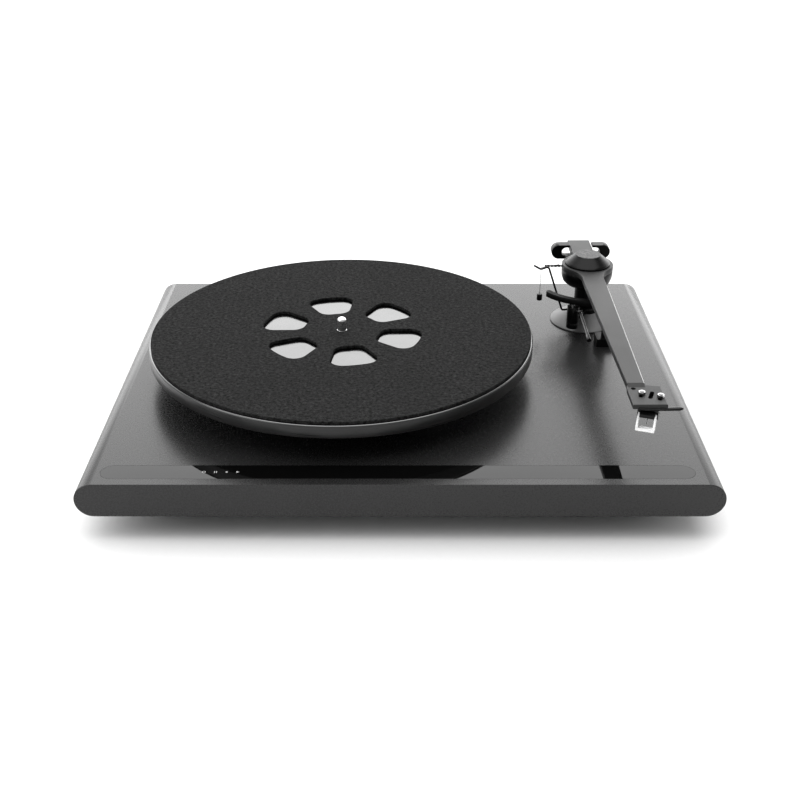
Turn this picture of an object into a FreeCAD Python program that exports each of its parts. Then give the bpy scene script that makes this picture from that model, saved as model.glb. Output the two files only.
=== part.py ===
"""Belt-drive record player: slab plinth, glass platter with a windowed mat, straight gimbal tonearm.

Frame: +Z up, front is -Y, origin on the standing surface under the middle of the plinth. Millimetres.
Every turned piece is drawn as a half section in its own XZ plane and revolved about Z.
The tonearm's pieces are drawn in the arm's frame: origin on the plinth's top under the pivot,
the headshell towards -Y. The cartridge's pieces are drawn in the cartridge's frame: origin on the
plinth's top under the middle of its two screws, the stylus towards -Y.
"""
import FreeCAD, Part
import math
import os
import re
import Sketcher

Vector = FreeCAD.Vector
Placement = FreeCAD.Placement
Rotation = FreeCAD.Rotation
UP = Vector(0, 0, 1)

SIZES = {
    # plinth: a slab whose two sides are fully rounded
    "plinth_width": 440, "plinth_depth": 346, "plinth_thick": 25.4, "plinth_lift": 20,
    "plinth_edge": 0.4, "top_wall": 6, "cavity_width": 372, "cavity_depth": 276,
    "cover_width": 392, "cover_depth": 296, "cover_thick": 2, "cover_corner": 12,
    "screw_radius": 1.5, "screw_head_radius": 2.8, "screw_head": 1.6, "screw_grip": 8,
    "cover_screw_x": 191, "cover_screw_y": 143,
    # control strip let into the top along the front
    "strip_length": 405, "strip_width": 17.5, "strip_thick": 1.2, "strip_front": 7.6, "strip_shift": -1.5,
    "strip_play": 0.1, "touch_x": -122, "touch_length": 50, "touch_width": 14, "board_thick": 1.6,
    "touch_floor": 30,
    # feet
    "foot_x": 165, "foot_y": 112, "foot_top_radius": 18, "foot_radius": 24, "foot_pad": 4,
    "foot_pad_radius": 21, "foot_bore": 3.2,
    # platter, mat, spindle
    "spindle_x": -45.7, "spindle_y": 5, "platter_radius": 150, "platter_thick": 10, "platter_gap": 19.1,
    "platter_chamfer": 0.9, "platter_bore": 3.94, "mat_radius": 148.5, "mat_thick": 2.5, "mat_bore": 4.1,
    "window_inner": 30.5, "window_outer": 63.5, "window_spread": 38, "window_start": 42, "window_corner": 9.4,
    "spindle_radius": 3.6, "spindle_seat_radius": 3.9, "spindle_step": 0.1, "spindle_rise": 10.3,
    "spindle_round": 2.6, "shaft_radius": 5, "running_gap": 0.03,
    "rotor_radius": 70, "rotor_thick": 12, "rotor_rim_radius": 72, "rotor_rim": 3,
    "rotor_hollow_inner": 14, "rotor_hollow_outer": 58, "rotor_hollow": 6,
    # main bearing
    "housing_radius": 13, "housing_floor": 20.1, "housing_base": 2, "housing_flange_radius": 24,
    "housing_flange": 3, "housing_neck": 5.6, "bush_radius": 8, "bush_bottom": 28, "bush_drop": 0.5,
    "ball_radius": 2, "ball_gap": 0.05, "housing_screw_circle": 18.5,
    # motor and belt
    "motor_x": -127, "motor_y": 86.3, "motor_radius": 17.5, "motor_length": 15.5, "motor_hole": 6,
    "motor_plate_length": 60, "motor_plate_width": 40, "motor_plate": 1.2, "grommet_radius": 4.5,
    "grommet": 2.5, "grommet_x": 24, "motor_boss": 3, "motor_boss_height": 2, "motor_shaft_radius": 1.5, "shaft_inset": 0.5,
    "pulley_radius": 9, "pulley_flange": 10.6, "pulley_flange_thick": 1.4, "pulley_bottom": 53,
    "pulley_height": 8, "belt_bottom": 55, "belt_width": 4, "belt_thick": 0.8, "belt_gap": 0.12,
    # boards inside
    "board_x": 10, "board_y": 95, "board_length": 80, "board_width": 60, "board_drop": 6,
    "board_hole_inset": 5, "spacer_radius": 3, "phono_x": 105, "phono_y": 112, "phono_length": 90,
    "phono_width": 30,
    # connector recess in the rear face
    "rear_x": 112, "rear_length": 130, "rear_height": 17, "rear_depth": 11, "rear_panel": 2,
    "rear_window_margin": 4, "rca_radius": 4.15, "rca_bore": 1.7, "rca_length": 9, "rca_first": -42,
    "rca_pitch": 20, "rca_flange_radius": 6, "rca_flange": 1.5, "ground_at": 2, "ground_radius": 2,
    "ground_length": 9.5, "ground_nut_radius": 4.5, "ground_nut": 5, "ground_nut_stand": 2.5,
    "switch_at": 24, "switch_length": 13, "switch_height": 7, "switch_body": 6, "switch_slot_length": 8,
    "switch_slot_height": 3, "switch_travel": 3, "switch_knob": 4.6, "switch_knob_height": 2.6,
    "switch_knob_out": 3, "switch_play": 0.1, "power_at": 48, "power_radius": 5.5, "power_bore": 2.8, "power_pin": 1,
    "power_length": 9, "power_pin_inset": 1.5, "rear_tail": 3, "rca_liner": 1.1, "rca_core_inset": 0.4,
    "rca_floor": 0.5,
    # tonearm base, column and rest
    "pivot_x": 158.6, "pivot_y": 93, "base_radius": 28.5, "base_lip": 0.8, "base_top_radius": 13,
    "base_rise": 10.5, "column_radius": 9, "column_top": 38.2, "stud_radius": 5, "nut_radius": 9,
    "nut_thick": 4, "bearing_shaft_radius": 2.5, "bearing_shaft_top": 44.2, "yoke_radius": 5.5,
    "yoke_bottom": 38.6, "yoke_top": 45.9, "yoke_roof": 1.5, "pin_axis": 43, "pin_radius": 1,
    "pin_reach": 3.7, "pin_end": 20.4, "pin_depth": 3.6,
    "rest_x": 169, "rest_y": 45, "rest_block": 14, "rest_block_height": 7, "rest_post_radius": 2.5,
    "rest_shelf_top": 39.8, "rest_shelf": 2.4, "rest_shelf_left": 156.2, "rest_shelf_right": 172.5,
    "rest_shelf_depth": 9, "rest_stop_left": 163.1, "rest_stop": 2.6, "rest_stop_top": 46.6,
    # cue lift
    "lift_angle": 22, "lift_reach": 40.5, "lift_bar_width": 8, "bracket_thick": 4.5, "collar_radius": 12.5,
    "lift_body_radius": 5, "lift_body_top": 29, "lift_rod_radius": 1.5, "lift_rod_bottom": 17,
    "cradle_bottom": 31.5, "cradle_top": 36, "cradle_half": 2.25, "cradle_from": -8, "cradle_to": 60,
    "cradle_round": 2, "lever_axis": 26.5, "lever_forward": 3.4, "lever_pin_radius": 0.9,
    "lever_pin_end": 8.4, "lever_hub_radius": 2, "lever_hub_from": 5.1, "lever_hub_width": 3,
    "lever_length": 41.5, "lever_radius": 1.3, "lever_turn": 25.3, "lever_droop": 9, "lever_knob_radius": 1.7,
    "lever_knob": 7,
    # tonearm
    "arm_yaw": 0.6, "arm_top": 52.2, "arm_bottom": 47.7, "head_radius": 21.5, "neck_reach": 50,
    "neck_half": 8.7, "tube_end": 219, "tube_half": 6, "stub_half": 9.5, "stub_end": 55, "arm_edge": 0.45,
    "neck_round": 22, "keel_half": 3.5, "keel_bottom": 40.2, "keel_front": 53, "keel_tip": 150,
    "keel_start": 21.8, "bell_bottom": 34, "bell_mouth": 12.6, "bell_bore": 15,
    "dome_radius": 18.9, "dome_rim": 1.2, "dome_top_radius": 10.3, "dome_rise": 8.4, "dome_break": 0.5,
    "shell_left": -6.8, "shell_right": 16.4, "shell_start": 219, "shell_end": 247.5, "shell_thick": 3.2,
    "shell_corner": 1.2, "slot_turn": 20, "slot_width": 2.8, "slot_length": 11, "slot_pitch": 12.7,
    "lead_hole": 1.7, "lead_hole_x": -2.6, "lead_hole_y": 224.5, "lift_blade": 1.2, "lift_blade_depth": 3.2,
    "lift_blade_out": 11, "lift_blade_front": 1.4,
    # counterweight
    "weight_at": 41, "weight_length": 51, "weight_height": 12.5, "weight_depth": 9, "weight_middle": 47.9,
    "weight_slot_length": 33.5, "weight_slot_height": 8.2, "weight_gap": 0.3, "clamp_half": 5,
    "clamp_screw_radius": 1.8, "clamp_gap": 0.05,
    # anti-skate
    "skate_height": 49.9, "skate_radius": 1, "skate_start": 18.5, "skate_end": 36, "skate_groove": 0.35,
    "skate_groove_first": 22.5, "skate_groove_pitch": 3, "skate_thread_at": 24, "wire_radius": 0.8,
    "wire_bend": 2, "thread_radius": 0.2, "skate_weight_radius": 2.3, "skate_weight_height": 5.6,
    "skate_weight_bottom": 21.5, "skate_weight_edge": 0.4, "hanger_left": 39.8, "hanger_front": 5.7,
    "hanger_bow": 2.5, "hanger_root": 10.5, "hanger_knee": 20.2, "hanger_arm": 6, "hanger_ends": 2.5,
    "hanger_dip": 0.9, "thread_gap": 0.02, "thread_rise": 0.9,
    # cartridge, stylus and guard
    "mount_across": 7.7, "mount_reach": 234, "body_half": 7, "body_back": 8, "body_front": 9,
    "flange_half": 8.3, "flange_back": 5, "flange_front": 5, "flange_thick": 2.5, "body_bottom": 37.5,
    "stylus_half": 4.9, "stylus_front": 12.5, "stylus_top": 43.5, "stylus_bottom": 37,
    "cantilever_radius": 0.35, "tip_forward": 9.5, "tip_height": 33.4, "tip_radius": 0.25, "tip_length": 0.9,
    "guard_half": 6.3, "guard_wall": 1, "guard_front": 17.5, "guard_back": 9.3, "guard_bottom": 31.95,
    "guard_top": 42, "guard_lip": 3, "pin_terminal_radius": 0.6,
    "pin_terminal_length": 5, "pin_pitch_x": 5, "pin_pitch_z": 4, "pin_height": 42.4,
    "mount_screw_radius": 1.25, "mount_screw_end": 42, "mount_nut_radius": 2.6, "mount_nut": 1.8,
    "mount_nut_turn": 12, "mount_screw_stand": 0.6, "body_brow": 2, "body_chin": 1, "body_heel": 4,
    "pin_terminal_root": 1.5, "stylus_slope": 1.5, "stylus_chin": 2.6, "cantilever_root": 2.5,
    "cantilever_tail": 0.4, "tip_point": 0.04, "guard_top_depth": 1.6, "guard_floor_depth": 2.5,
    "guard_heel": 4, "lead_spread": 0.75, "lead_inset": 0.6, "lead_drop": 0.3, "lead_straight": 2.2,
    "lead_radius": 0.4,
}

PLINTH_TOP = "(plinth_lift + plinth_thick)"
CEILING = f"({PLINTH_TOP} - top_wall)"
PLATTER_BOTTOM = f"({PLINTH_TOP} + platter_gap)"
PLATTER_TOP = f"({PLATTER_BOTTOM} + platter_thick)"
MAT_TOP = f"({PLATTER_TOP} + mat_thick)"
ROTOR_BOTTOM = f"({PLATTER_BOTTOM} - rotor_thick)"
STRIP_Y = "(-plinth_depth / 2 + strip_front + strip_width / 2)"
REAR_Y = "(plinth_depth / 2)"
PANEL_Y = "(plinth_depth / 2 - rear_depth)"
REAR_Z = "(plinth_lift + plinth_thick / 2)"

doc = FreeCAD.newDocument("record_player")
sheet = doc.addObject("Spreadsheet::Sheet", "Sizes")
for row, (name, number) in enumerate(SIZES.items(), start=1):
    sheet.set(f"A{row}", name)
    sheet.set(f"B{row}", str(number))
    sheet.setAlias(f"B{row}", name)
doc.recompute()
SUBPARTS = []
SCREWS = []


# --- formulas, sketches and features ---------------------------------------------------------

def value(formula):
    """A formula of the sheet's names as a number."""
    return float(sheet.evalExpression(str(formula)))


def linked(formula):
    """The same formula as another object reads it, with the sheet named before each alias."""
    def full_name(word):
        return f"Sizes.{word.group()}" if word.group() in SIZES else word.group()
    return re.sub(r"[a-z_]+", full_name, str(formula))


def new_body(label):
    body = doc.addObject("PartDesign::Body", label)
    body.Label = label
    SUBPARTS.append(body)
    return body


def new_sketch(body, plane, height="0"):
    """A sketch on one of the body's own origin planes, moved along that plane's normal."""
    sketch = body.newObject("Sketcher::SketchObject", "Sketch")
    origin_plane = [item for item in body.Origin.OriginFeatures if item.Role == plane][0]
    sketch.AttachmentSupport = [(origin_plane, "")]
    sketch.MapMode = "FlatFace"
    sketch.setExpression(".AttachmentOffset.Base.z", linked(height))
    return sketch


def constrain(sketch, constraint, formula):
    index = sketch.addConstraint(constraint)
    sketch.setExpression(f"Constraints[{index}]", linked(formula))


def pin(sketch, geometry, point, x, y):
    """Tie one point of a sketch element to two formulas, measured from the sketch's origin."""
    constrain(sketch, Sketcher.Constraint("DistanceX", -1, 1, geometry, point, value(x)), x)
    constrain(sketch, Sketcher.Constraint("DistanceY", -1, 1, geometry, point, value(y)), y)


def outline(sketch, corners):
    """A closed chain of straight lines through the corners."""
    points = [Vector(value(x), value(y), 0) for x, y in corners]
    lines = []
    for start, end in zip(points, points[1:] + points[:1]):
        lines.append(sketch.addGeometry(Part.LineSegment(start, end)))
    for index, (x, y) in enumerate(corners):
        sketch.addConstraint(Sketcher.Constraint("Coincident", lines[index - 1], 2, lines[index], 1))
        pin(sketch, lines[index], 1, x, y)


def rectangle(sketch, left, right, low, high):
    outline(sketch, [(left, low), (right, low), (right, high), (left, high)])


def circle(sketch, x, y, radius):
    round_shape = Part.Circle(Vector(value(x), value(y), 0), UP, value(radius))
    geometry = sketch.addGeometry(round_shape)
    pin(sketch, geometry, 3, x, y)
    constrain(sketch, Sketcher.Constraint("Radius", geometry, value(radius)), radius)


def stadium(sketch, x, y, length, width):
    """A slot shape lying along the sketch's X, its round ends inside the length."""
    radius = f"({width}) / 2"
    half = f"(({length}) - ({width})) / 2"
    arcs = []
    for side, start in ((1, -math.pi / 2), (-1, math.pi / 2)):
        centre = Vector(value(x) + side * value(half), value(y), 0)
        end_circle = Part.Circle(centre, UP, value(radius))
        arcs.append(sketch.addGeometry(Part.ArcOfCircle(end_circle, start, start + math.pi)))
    lines = []
    for arc, other in ((0, 1), (1, 0)):
        start = sketch.getPoint(arcs[arc], 2)
        end = sketch.getPoint(arcs[other], 1)
        lines.append(sketch.addGeometry(Part.LineSegment(start, end)))
    for arc, other, line in ((0, 1, lines[0]), (1, 0, lines[1])):
        sketch.addConstraint(Sketcher.Constraint("Tangent", arcs[arc], 2, line, 1))
        sketch.addConstraint(Sketcher.Constraint("Tangent", line, 2, arcs[other], 1))
    pin(sketch, arcs[0], 3, f"({x}) + {half}", y)
    constrain(sketch, Sketcher.Constraint("DistanceX", -1, 1, arcs[1], 3, value(f"({x}) - {half}")),
              f"({x}) - {half}")
    constrain(sketch, Sketcher.Constraint("Radius", arcs[0], value(radius)), radius)


def pad(body, sketch, length, midplane=False, backwards=False):
    feature = body.newObject("PartDesign::Pad", "Pad")
    feature.Profile = sketch
    feature.setExpression("Length", linked(length))
    feature.Midplane = midplane
    feature.Reversed = backwards
    sketch.Visibility = False
    doc.recompute()
    return feature


def pocket(body, sketch, length, backwards=False, midplane=False):
    """Cut a sketch out of the body, against the sketch's normal unless backwards."""
    before = body.Shape.Volume
    feature = body.newObject("PartDesign::Pocket", "Pocket")
    feature.Profile = sketch
    feature.setExpression("Length", linked(length))
    feature.Midplane = midplane
    feature.Reversed = backwards
    doc.recompute()
    if body.Shape.Volume > before - 1e-6:
        raise ValueError(f"{feature.Name} of {body.Label} cut nothing")
    return feature


def edge_names(shape, wanted):
    return [f"Edge{index}" for index, edge in enumerate(shape.Edges, start=1) if wanted(edge)]


def dress(body, kind, size, wanted):
    """Fillet or chamfer the edges that wanted() picks out."""
    base = body.Tip
    names = edge_names(base.Shape, wanted)
    if not names:
        raise ValueError(f"{body.Label} has no edge to {kind}")
    feature = body.newObject(f"PartDesign::{kind}", kind)
    feature.Base = (base, names)
    feature.setExpression("Radius" if kind == "Fillet" else "Size", linked(size))
    doc.recompute()
    return feature


def is_upright(edge):
    if edge.Curve.TypeId != "Part::GeomLine":
        return False
    start, end = edge.Vertexes[0].Point, edge.Vertexes[-1].Point
    return math.hypot(start.x - end.x, start.y - end.y) < 1e-6


def is_level(edge, height):
    return all(abs(vertex.Point.z - height) < 1e-6 for vertex in edge.Vertexes)


def revolve(body, corners, angle="360"):
    """Turn a half section (radius, height) about the body's Z axis."""
    sketch = new_sketch(body, "XZ_Plane")
    outline(sketch, corners)
    feature = body.newObject("PartDesign::Revolution", "Revolution")
    feature.Profile = sketch
    feature.ReferenceAxis = (sketch, ["V_Axis"])
    feature.setExpression("Angle", linked(angle))
    doc.recompute()
    return feature


def drop(item, x="0", y="0", z="0", rotation=Rotation()):
    item.Placement = Placement(Vector(value(x), value(y), value(z)), rotation)
    return item


def turned(label, corners, x="0", y="0", z="0"):
    body = new_body(label)
    revolve(body, corners)
    return drop(body, x, y, z)


def plate(label, left, right, front, back, low, high, corner=None):
    """A flat rectangular piece between two heights."""
    body = new_body(label)
    sketch = new_sketch(body, "XY_Plane", low)
    rectangle(sketch, left, right, front, back)
    pad(body, sketch, f"({high}) - ({low})")
    if corner:
        dress(body, "Fillet", corner, is_upright)
    return body


def rod(label, start, direction, radius, length):
    """A Part cylinder from a point along a direction; the radius and length follow the sheet."""
    piece = doc.addObject("Part::Cylinder", label)
    piece.Label = label
    piece.setExpression("Radius", linked(radius))
    piece.setExpression("Height", linked(length))
    piece.Placement = Placement(start, Rotation(UP, direction))
    return piece


def subpart(piece):
    SUBPARTS.append(piece)
    return piece


def group(label, pieces):
    """Separate like solids kept as one sub-part."""
    bundle = doc.addObject("Part::Compound", label)
    bundle.Label = label
    bundle.Links = pieces
    SUBPARTS.append(bundle)
    return bundle


def screw(label, x, y, seat, grip, upward=True):
    """A pan head under a seat with its shank going into it, or the same upside down."""
    way = 1 if upward else -1
    point = Vector(value(x), value(y), value(seat))
    shank = rod(f"{label}_shank", point, UP * way, "screw_radius", grip)
    head = rod(f"{label}_head", point, UP * -way, "screw_head_radius", "screw_head")
    joined = doc.addObject("Part::Fuse", label)
    joined.Base = shank
    joined.Tool = head
    return joined


def bent_wire(label, points, radius, bend):
    """A round wire along straight runs joined by tangent arcs."""
    edges = []
    start = points[0]
    for corner, after in zip(points[1:-1], points[2:]):
        come = (corner - start).normalize()
        leave = (after - corner).normalize()
        reach = value(bend) * math.tan(come.getAngle(leave) / 2)
        first = corner - come * reach
        last = corner + leave * reach
        middle = (leave - come).normalize()
        inside = corner + middle * (value(bend) / math.cos(come.getAngle(leave) / 2))
        bulge = inside - middle * value(bend)
        edges += [Part.LineSegment(start, first).toShape(), Part.Arc(first, bulge, last).toShape()]
        start = last
    edges.append(Part.LineSegment(start, points[-1]).toShape())
    path = Part.Wire(edges)
    heading = (points[1] - points[0]).normalize()
    section = Part.Wire(Part.makeCircle(value(radius), points[0], heading))
    piece = doc.addObject("Part::Feature", label)
    piece.Label = label
    piece.Shape = path.makePipeShell([section], True, True)
    return piece


# --- plinth, cover, feet ------------------------------------------------------------------------

def cover_screw_places():
    across, deep = "cover_screw_x", "cover_screw_y"
    corners = [(f"{sx} * {across}", f"{sy} * {deep}") for sx in (-1, 1) for sy in (-1, 1)]
    return corners + [("0", f"-{deep}"), ("0", deep)]


def foot_places():
    return [(f"{sx} * foot_x", f"{sy} * foot_y") for sx in (-1, 1) for sy in (-1, 1)]


def housing_screw_places():
    places = []
    for turn in (90, 210, 330):
        x = f"spindle_x + housing_screw_circle * cos({turn} deg)"
        y = f"spindle_y + housing_screw_circle * sin({turn} deg)"
        places.append((x, y))
    return places


def make_plinth():
    body = new_body("plinth")
    slab = new_sketch(body, "XZ_Plane")
    stadium(slab, "0", REAR_Z, "plinth_width", "plinth_thick")
    pad(body, slab, "plinth_depth", midplane=True)
    half_depth = value("plinth_depth / 2")
    dress(body, "Chamfer", "plinth_edge",
          lambda edge: all(abs(abs(v.Point.y) - half_depth) < 1e-6 for v in edge.Vertexes))
    cavity = new_sketch(body, "XY_Plane", "plinth_lift")
    rectangle(cavity, "-cavity_width / 2", "cavity_width / 2", "-cavity_depth / 2", "cavity_depth / 2")
    pocket(body, cavity, "plinth_thick - top_wall", backwards=True)
    strip = new_sketch(body, "XY_Plane", PLINTH_TOP)
    stadium(strip, "strip_shift", STRIP_Y, "strip_length", "strip_width")
    pocket(body, strip, "strip_thick")
    touch = new_sketch(body, "XY_Plane", "touch_floor")
    rectangle(touch, "touch_x - touch_length / 2", "touch_x + touch_length / 2",
              f"{STRIP_Y} - touch_width / 2", "-cavity_depth / 2")
    pocket(body, touch, f"{PLINTH_TOP} - strip_thick - touch_floor", backwards=True)
    holes = new_sketch(body, "XY_Plane", PLINTH_TOP)
    circle(holes, "spindle_x", "spindle_y", "housing_radius")
    circle(holes, "motor_x", "motor_y", "motor_hole")
    circle(holes, "pivot_x", "pivot_y", "stud_radius")
    for x, y in housing_screw_places():
        circle(holes, x, y, "screw_radius")
    pocket(body, holes, "top_wall")
    threads = new_sketch(body, "XY_Plane", "plinth_lift")
    for x, y in cover_screw_places():
        circle(threads, x, y, "screw_radius")
    pocket(body, threads, "screw_grip - cover_thick", backwards=True)
    make_rear_recess(body)


def make_rear_recess(body):
    """A recess in the rear face, with a smaller window through to the cavity for the sockets."""
    recess = new_sketch(body, "XZ_Plane", f"-{REAR_Y}")
    rectangle(recess, "rear_x - rear_length / 2", "rear_x + rear_length / 2",
              f"{REAR_Z} - rear_height / 2", f"{REAR_Z} + rear_height / 2")
    pocket(body, recess, "rear_depth + rear_panel", backwards=True)
    window = new_sketch(body, "XZ_Plane", f"-{REAR_Y}")
    rectangle(window, "rear_x - rear_length / 2 + rear_window_margin",
              "rear_x + rear_length / 2 - rear_window_margin",
              f"{REAR_Z} - rear_height / 2 + rear_window_margin / 2",
              f"{REAR_Z} + rear_height / 2 - rear_window_margin / 2")
    pocket(body, window, f"{REAR_Y} - cavity_depth / 2 + 1", backwards=True)


def make_bottom_cover():
    body = new_body("bottom_cover")
    sketch = new_sketch(body, "XY_Plane", "plinth_lift")
    rectangle(sketch, "-cover_width / 2", "cover_width / 2", "-cover_depth / 2", "cover_depth / 2")
    pad(body, sketch, "cover_thick", backwards=True)
    dress(body, "Fillet", "cover_corner", is_upright)
    holes = new_sketch(body, "XY_Plane", "plinth_lift")
    for x, y in cover_screw_places() + foot_places():
        circle(holes, x, y, "screw_radius")
    pocket(body, holes, "cover_thick")
    seat = "plinth_lift - cover_thick"
    for index, (x, y) in enumerate(cover_screw_places()):
        SCREWS.append(screw(f"cover_screw_{index}", x, y, seat, "screw_grip"))


def make_feet():
    """Four flared feet under the cover, each with a soft pad and a screw up through its middle."""
    top = "(plinth_lift - cover_thick)"
    feet = []
    pads = []
    for index, (x, y) in enumerate(foot_places()):
        cone = doc.addObject("Part::Cone", f"foot_cone_{index}")
        cone.setExpression("Radius1", "Sizes.foot_radius")
        cone.setExpression("Radius2", "Sizes.foot_top_radius")
        cone.setExpression("Height", linked(f"{top} - foot_pad"))
        drop(cone, x, y, "foot_pad")
        point = Vector(value(x), value(y), 0)
        bore = rod(f"foot_bore_{index}", point, UP, "foot_bore", f"{top} - screw_head")
        hole = rod(f"foot_hole_{index}", point, UP, "screw_radius", "plinth_lift")
        cutter = doc.addObject("Part::Fuse", f"foot_cutter_{index}")
        cutter.Base = bore
        cutter.Tool = hole
        foot = doc.addObject("Part::Cut", f"foot_{index}")
        foot.Base = cone
        foot.Tool = cutter
        feet.append(foot)
        pads.append(rod(f"foot_pad_{index}", point, UP, "foot_pad_radius", "foot_pad"))
        SCREWS.append(screw(f"foot_screw_{index}", x, y, f"{top} - screw_head",
                            "cover_thick + screw_head"))
    group("feet", feet)
    group("foot_pads", pads)


def make_control_strip():
    body = new_body("control_strip")
    sketch = new_sketch(body, "XY_Plane", PLINTH_TOP)
    stadium(sketch, "strip_shift", STRIP_Y, "strip_length - 2 * strip_play", "strip_width - 2 * strip_play")
    pad(body, sketch, "strip_thick", backwards=True)


# --- platter and main bearing -------------------------------------------------------------------

def make_bearing():
    top = PLINTH_TOP
    body = turned("bearing_housing", [
        ("0", "housing_floor"), ("housing_radius", "housing_floor"), ("housing_radius", top),
        ("housing_flange_radius", top), ("housing_flange_radius", f"{top} + housing_flange"),
        ("housing_radius", f"{top} + housing_flange"), ("housing_radius", f"{top} + housing_neck"),
        ("bush_radius", f"{top} + housing_neck"), ("bush_radius", "housing_floor + housing_base"),
        ("0", "housing_floor + housing_base")], "spindle_x", "spindle_y")
    holes = new_sketch(body, "XY_Plane", f"{top} + housing_flange")
    for x, y in housing_screw_places():
        circle(holes, f"({x}) - spindle_x", f"({y}) - spindle_y", "screw_radius")
    pocket(body, holes, "housing_flange")
    bore = "shaft_radius + running_gap"
    turned("bearing_bush", [
        (bore, "bush_bottom"), ("bush_radius", "bush_bottom"),
        ("bush_radius", f"{top} + housing_neck - bush_drop"),
        (bore, f"{top} + housing_neck - bush_drop")], "spindle_x", "spindle_y")
    ball = doc.addObject("Part::Sphere", "thrust_ball")
    ball.setExpression("Radius", "Sizes.ball_radius")
    subpart(drop(ball, "spindle_x", "spindle_y", "housing_floor + housing_base + ball_radius"))
    for index, (x, y) in enumerate(housing_screw_places()):
        SCREWS.append(screw(f"housing_screw_{index}", x, y, f"{top} + housing_flange",
                            "screw_grip", upward=False))


def make_spindle():
    """One shaft: it turns in the bush, seats in the platter, and stands through the mat as the spindle."""
    foot = "housing_floor + housing_base + 2 * ball_radius + ball_gap"
    tip = f"({MAT_TOP} + spindle_rise)"
    step = f"({MAT_TOP} - spindle_step)"
    body = turned("spindle_shaft", [
        ("0", foot), ("shaft_radius", foot), ("shaft_radius", PLATTER_BOTTOM),
        ("spindle_seat_radius", PLATTER_BOTTOM), ("spindle_seat_radius", step),
        ("spindle_radius", step), ("spindle_radius", tip), ("0", tip)],
        "spindle_x", "spindle_y")
    dress(body, "Fillet", "spindle_round", lambda edge: is_level(edge, value(tip)))


def make_rotating_parts():
    turned("sub_platter", [
        ("shaft_radius", ROTOR_BOTTOM), ("rotor_hollow_inner", ROTOR_BOTTOM),
        ("rotor_hollow_inner", f"{ROTOR_BOTTOM} + rotor_hollow"),
        ("rotor_hollow_outer", f"{ROTOR_BOTTOM} + rotor_hollow"), ("rotor_hollow_outer", ROTOR_BOTTOM),
        ("rotor_radius", ROTOR_BOTTOM), ("rotor_radius", f"{PLATTER_BOTTOM} - rotor_rim"),
        ("rotor_rim_radius", f"{PLATTER_BOTTOM} - rotor_rim"), ("rotor_rim_radius", PLATTER_BOTTOM),
        ("shaft_radius", PLATTER_BOTTOM)], "spindle_x", "spindle_y")
    turned("platter", [
        ("platter_bore", PLATTER_BOTTOM), ("platter_radius - platter_chamfer / 2", PLATTER_BOTTOM),
        ("platter_radius", f"{PLATTER_BOTTOM} + platter_chamfer / 2"),
        ("platter_radius", f"{PLATTER_TOP} - platter_chamfer"),
        ("platter_radius - platter_chamfer", PLATTER_TOP), ("platter_bore", PLATTER_TOP)],
        "spindle_x", "spindle_y")


def make_mat():
    """A felt ring with six rounded windows, each a slice of a ring between two radii."""
    body = new_body("mat")
    disc = new_sketch(body, "XY_Plane", PLATTER_TOP)
    circle(disc, "0", "0", "mat_radius")
    circle(disc, "0", "0", "mat_bore")
    pad(body, disc, "mat_thick")
    window = new_sketch(body, "XY_Plane", MAT_TOP)
    half = value("window_spread / 2")
    middle = value("window_start")
    angles = [math.radians(middle - half), math.radians(middle + half)]
    rings = []
    for radius in ("window_inner", "window_outer"):
        ring = Part.ArcOfCircle(Part.Circle(Vector(), UP, value(radius)), *angles)
        geometry = window.addGeometry(ring)
        window.addConstraint(Sketcher.Constraint("Coincident", -1, 1, geometry, 3))
        constrain(window, Sketcher.Constraint("Radius", geometry, value(radius)), radius)
        rings.append(geometry)
    for point, turn in ((1, "window_start - window_spread / 2"), (2, "window_start + window_spread / 2")):
        start, end = window.getPoint(rings[0], point), window.getPoint(rings[1], point)
        side = window.addGeometry(Part.LineSegment(start, end))
        window.addConstraint(Sketcher.Constraint("Coincident", rings[0], point, side, 1))
        window.addConstraint(Sketcher.Constraint("Coincident", rings[1], point, side, 2))
        constrain(window, Sketcher.Constraint("DistanceX", -1, 1, side, 1,
                                              value(f"window_inner * cos(({turn}) * 1 deg)")),
                  f"window_inner * cos(({turn}) * 1 deg)")
        constrain(window, Sketcher.Constraint("DistanceX", -1, 1, side, 2,
                                              value(f"window_outer * cos(({turn}) * 1 deg)")),
                  f"window_outer * cos(({turn}) * 1 deg)")
    cut = pocket(body, window, "mat_thick")
    pattern = body.newObject("PartDesign::PolarPattern", "mat_windows")
    pattern.Originals = [cut]
    pattern.Axis = (window, ["N_Axis"])
    pattern.Angle = 360
    pattern.Occurrences = 6
    body.Tip = pattern
    doc.recompute()
    dress(body, "Fillet", "window_corner", is_upright)
    drop(body, "spindle_x", "spindle_y")


# --- motor and belt -----------------------------------------------------------------------------

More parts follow.
